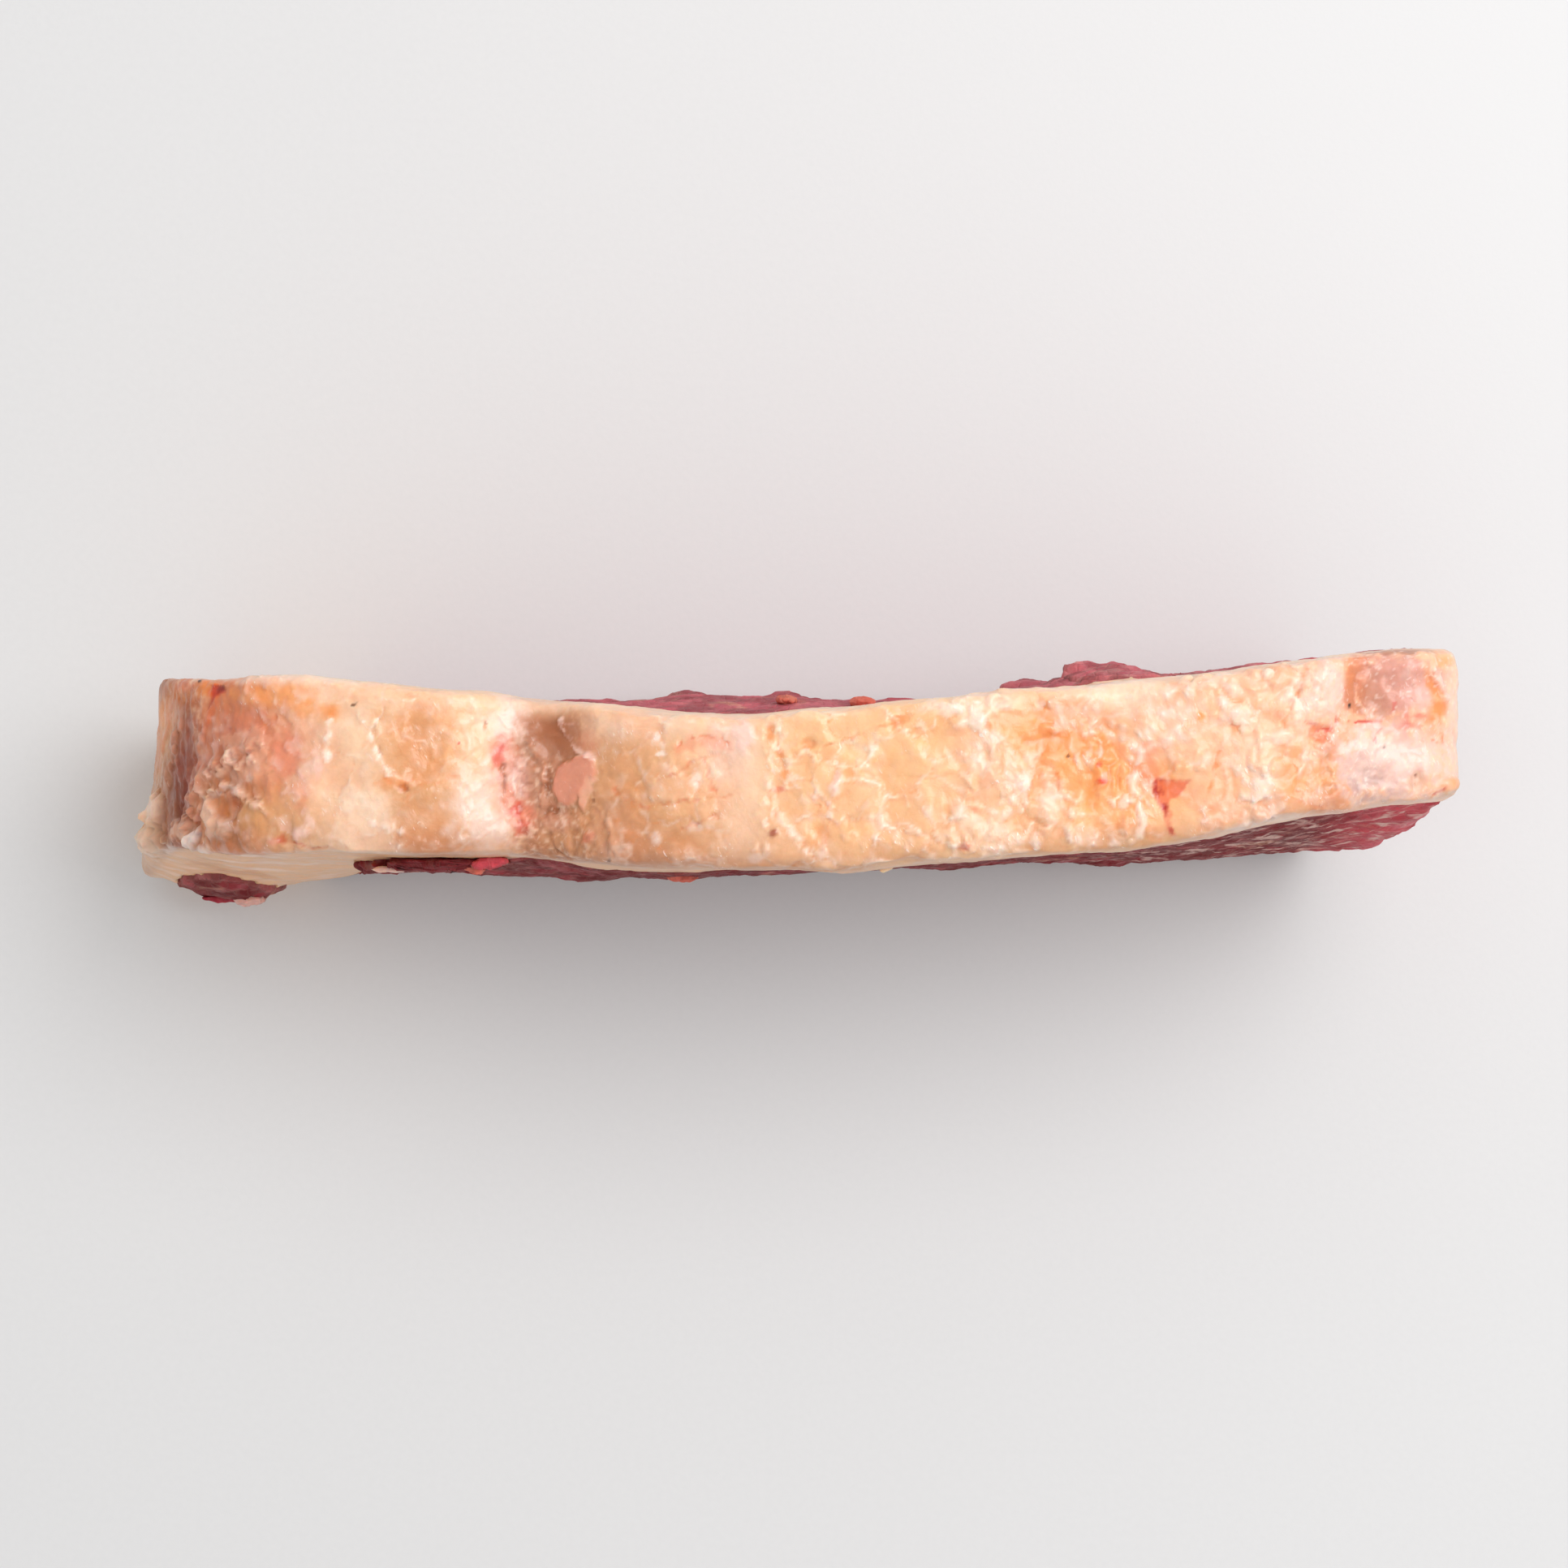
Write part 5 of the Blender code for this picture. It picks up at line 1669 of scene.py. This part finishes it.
LEAN_SCRAPS = (
    Scrap(-0.49, 0.7, Side.FRONT, (11.0, 1.6, 6.0), Tint.MAROON, 0.6, tip=-6.0),
    Scrap(-0.595, 0.62, Side.FRONT, (4.6, 1.5, 2.4), Tint.MAROON, 0.7, tip=-8.0),
    Scrap(-0.428, 0.77, Side.FRONT, (2.8, 1.2, 1.6), Tint.LEAN_BRIGHT, 1.0, 8.0, 14.0),
    Scrap(-0.448, 0.75, Side.FRONT, (2.2, 1.0, 1.3), Tint.CHUNK, 1.6, -20.0, -10.0),
    Scrap(-0.143, 0.7, Side.FRONT, (2.8, 0.9, 1.2), Tint.CHUNK),
    Scrap(0.125, 0.72, Side.BACK, (2.3, 0.9, 1.5), Tint.CHUNK, 0.5),
    Scrap(0.012, 0.72, Side.BACK, (1.8, 0.9, 1.6), Tint.CHUNK, 0.6),
    Scrap(-0.855, 0.19, Side.FRONT, (4.5, 0.8, 1.8), Tint.LEAN, -0.3, tip=8.0),
)
FAT_SCRAPS = (
    Scrap(-0.823, 0.2, Side.FRONT, (2.6, 1.2, 3.0), Tint.MAUVE, -0.1, tip=10.0),
    Scrap(0.16, 0.86, Side.FRONT, (1.3, 0.6, 0.5), Tint.CREAM, turn=20.0),
    Scrap(-0.575, 0.7, Side.FRONT, (3.6, 0.5, 0.5), Tint.LILAC, 2.0, tip=-3.0),
)


@dataclass
class Scraps:
    """Small lumps of one kind, all in one piece."""

    name: str
    slot: str
    material: bpy.types.Material
    lumps: tuple[Scrap, ...]
    warp: float = 0.30
    lumpiness: float = 0.35
    roughness: float = 0.22
    thickest: float = 2.0

    def build(self) -> bpy.types.Object:
        """Builds the piece.

        Returns:
            The piece.
        """
        solids = bmesh.new()
        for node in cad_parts.values():
            solids.from_mesh(node.data)
        walls = BVHTree.FromBMesh(solids)
        solids.free()
        high = CAD_BOX[1]
        bm = bmesh.new()
        tints, count = [], 0
        for lump in self.lumps:
            side = lump.side.value
            place = Vector((lump.along * high.x, 2 * side * high.y, lump.height * high.z))
            place.y = walls.ray_cast(place, Vector((0.0, -side, 0.0)))[0].y + side * lump.stand * MM
            count = add_egg(bm, place, lump.reach, lump.turn, lump.tip, 4)
            tints += [lump.tint.linear] * count
        skin = Skin(self.name, written(bm, self.name))
        skin.colour = np.array(tints)
        thickness = np.repeat([min(self.thickest, *lump.reach) for lump in self.lumps], count)
        width = np.repeat([lump.reach[0] for lump in self.lumps], count)
        for axis, seed in ((0, 45), (2, 46)):
            skin.points[:, axis] += self.warp * width * cloud(skin.points, 5.0, seed)
        coarse = self.lumpiness * cloud(skin.points, (2.2, 2.2, 1.6), 41)
        fine = self.roughness * cloud(skin.points, 0.9, 42)
        skin.scale(1 + 0.25 * cloud(skin.points, 1.4, 43))
        skin.push(thickness * (coarse + fine))
        return added(skin, self.material)


@dataclass
class Muscle:
    """A muscle that runs through the steak from face to face."""

    node: str
    material: bpy.types.Material
    lobes: tuple[Lobe, ...] = ()
    voxel: float = 0.75
    bundle: Triple = (3.8, 9.0, 3.2)
    strand: Triple = (1.9, 9.0, 1.5)
    waves: float = 0.5
    bundle_rise: float = 0.24
    strand_rise: float = 0.10
    level: float = 0.2
    seam_rise: float = 0.6

    def build(self) -> bpy.types.Object:
        """Builds the piece.

        Returns:
            The piece.
        """
        solid = Solid(self.node, "lean", self.material, self.voxel, self.lobes)
        skin = Skin(self.node.replace("muscle", "meat"), solid.skinned())
        points = skin.points.copy()
        along = points[:, 0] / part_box("fat_cap")[1].x * MM
        face = np.abs(skin.normals[:, 1])
        warped = strayed(points, 0.9, 4.0)
        bundles, tone, _ = cells(warped, self.bundle, 1)
        strands, strand_tone, _ = cells(warped, self.strand, 2)
        self._paint(skin, along, tone, strand_tone, (1 - smoothstep(0.0, 0.12, bundles)) * face)
        seam = (1 - smoothstep(0.55, 0.97, face)) * (1 - smoothstep(0.86, 0.93, along))
        seam = seam * smoothstep(1.5, 5.0, points[:, 2])
        skin.tint(Tint.MAUVE, 0.15 * seam)
        relief = self.waves * cloud(points, (9.0, 9.0, 5.0), 4) - self.level
        relief += self.bundle_rise * smoothstep(0.0, 0.5, bundles)
        relief += self.strand_rise * smoothstep(0.0, 0.5, strands)
        skin.push(relief + self.seam_rise * seam)
        return solid.finished(skin)

    @staticmethod
    def _paint(skin: Skin, along: np.ndarray, tone: np.ndarray, strand_tone: np.ndarray,
               sheaths: np.ndarray) -> None:
        """Colours the muscle: painted shade on the front face, painted light on the back one, and
        pink and frayed at the chine end.

        Args:
            skin: The skin that is painted.
            along: Share along the steak of each point.
            tone: A value of 0 to 1 for each bundle.
            strand_tone: A value of 0 to 1 for each strand.
            sheaths: Share of each point that lies on a bundle's sheath.
        """
        back = smoothstep(-0.3, 0.5, skin.normals[:, 1])
        skin.tint(Tint.LEAN, 1.0)
        # Painted shade darkens the front face, and painted light makes the back face pinker.
        skin.tint(Tint.LEAN_DARK, 0.65 * (1 - back))
        skin.tint(Tint.LEAN_PINK, 0.55 * back)
        skin.tint(Tint.LEAN_DARK, 0.4 * smoothstep(0.4, 0.0, tone))
        skin.tint(Tint.LEAN_BRIGHT, 0.25 * smoothstep(0.6, 1.0, tone))
        skin.tint(Tint.LEAN_PINK, 0.25 * smoothstep(0.7, 1.0, strand_tone))
        skin.tint(Tint.MAUVE, 0.12 * sheaths)
        frayed = smoothstep(0.55, 0.95, along) * (1 - back)
        skin.tint(Tint.MAUVE, 0.5 * smoothstep(0.62, 0.8, strand_tone) * frayed)
        skin.tint(Tint.LEAN_BRIGHT, 0.9 * smoothstep(0.78, 0.92, along) * (1 - back))
        skin.tint(Tint.LEAN_PINK, 0.8 * smoothstep(0.84, 0.97, along) * smoothstep(0.2, 0.7, tone))


@dataclass
class Studio:
    """Board, lights and camera."""

    camera_place: Triple = (1.0, -1.3, 940.0)
    lens: float = 123.27
    sensor: float = 36.0
    clip_start: float = 0.01
    board_size: float = 3000.0
    key_place: Triple = (430.0, 290.0, 860.0)
    key_size: float = 700.0
    key_power: float = 5.8
    sky: float = 0.72

    def board(self) -> None:
        """The surface that the steak stands on."""
        bm = bmesh.new()
        bmesh.ops.create_grid(bm, x_segments=1, y_segments=1, size=self.board_size * MM / 2)
        mesh = written(bm, "board")
        mesh.materials.append(BoardFinish().material())
        linked("board", mesh)

    def lights(self) -> None:
        """One large soft light from the back right, and a pale sky."""
        lamp = bpy.data.lights.new("key", "AREA")
        lamp.shape = "DISK"
        lamp.size = self.key_size * MM
        lamp.energy = self.key_power
        key = linked("key", lamp)
        key.location = Vector(self.key_place) * MM
        key.rotation_euler = (-key.location).to_track_quat("-Z", "Y").to_euler()
        world = bpy.data.worlds.new("sky")
        world.use_nodes = True
        background = world.node_tree.nodes["Background"].inputs
        background["Color"].default_value = (1.0, 1.0, 1.0, 1.0)
        background["Strength"].default_value = self.sky
        bpy.context.scene.world = world

    def camera(self) -> None:
        """A camera that looks straight down on the crest."""
        data = bpy.data.cameras.new("camera")
        data.lens = self.lens
        data.sensor_width = self.sensor
        data.clip_start = self.clip_start
        camera = linked("camera", data)
        camera.location = Vector(self.camera_place) * MM
        bpy.context.scene.camera = camera
        bpy.context.scene.view_settings.view_transform = "Standard"

    def build(self) -> None:
        """Sets the whole studio up."""
        self.board()
        self.lights()
        self.camera()


def main() -> None:
    """Builds the steak's pieces in order, then the studio."""
    logging.basicConfig(level=logging.INFO, format="%(name)s: %(message)s")
    fat = FatFinish().material()
    lean = LeanFinish().material()
    FatCap(fat).build()
    Muscle("eye_muscle", lean, EYE_LOBES).build()
    Muscle("rim_muscle", lean, RIM_LOBES).build()
    Muscle("tail_muscle", lean).build()
    Scraps("lean_scraps", "lean", lean, LEAN_SCRAPS).build()
    Scraps("fat_scraps", "fat", fat, FAT_SCRAPS).build()
    Studio().build()


if __name__ == "__main__":
    main()
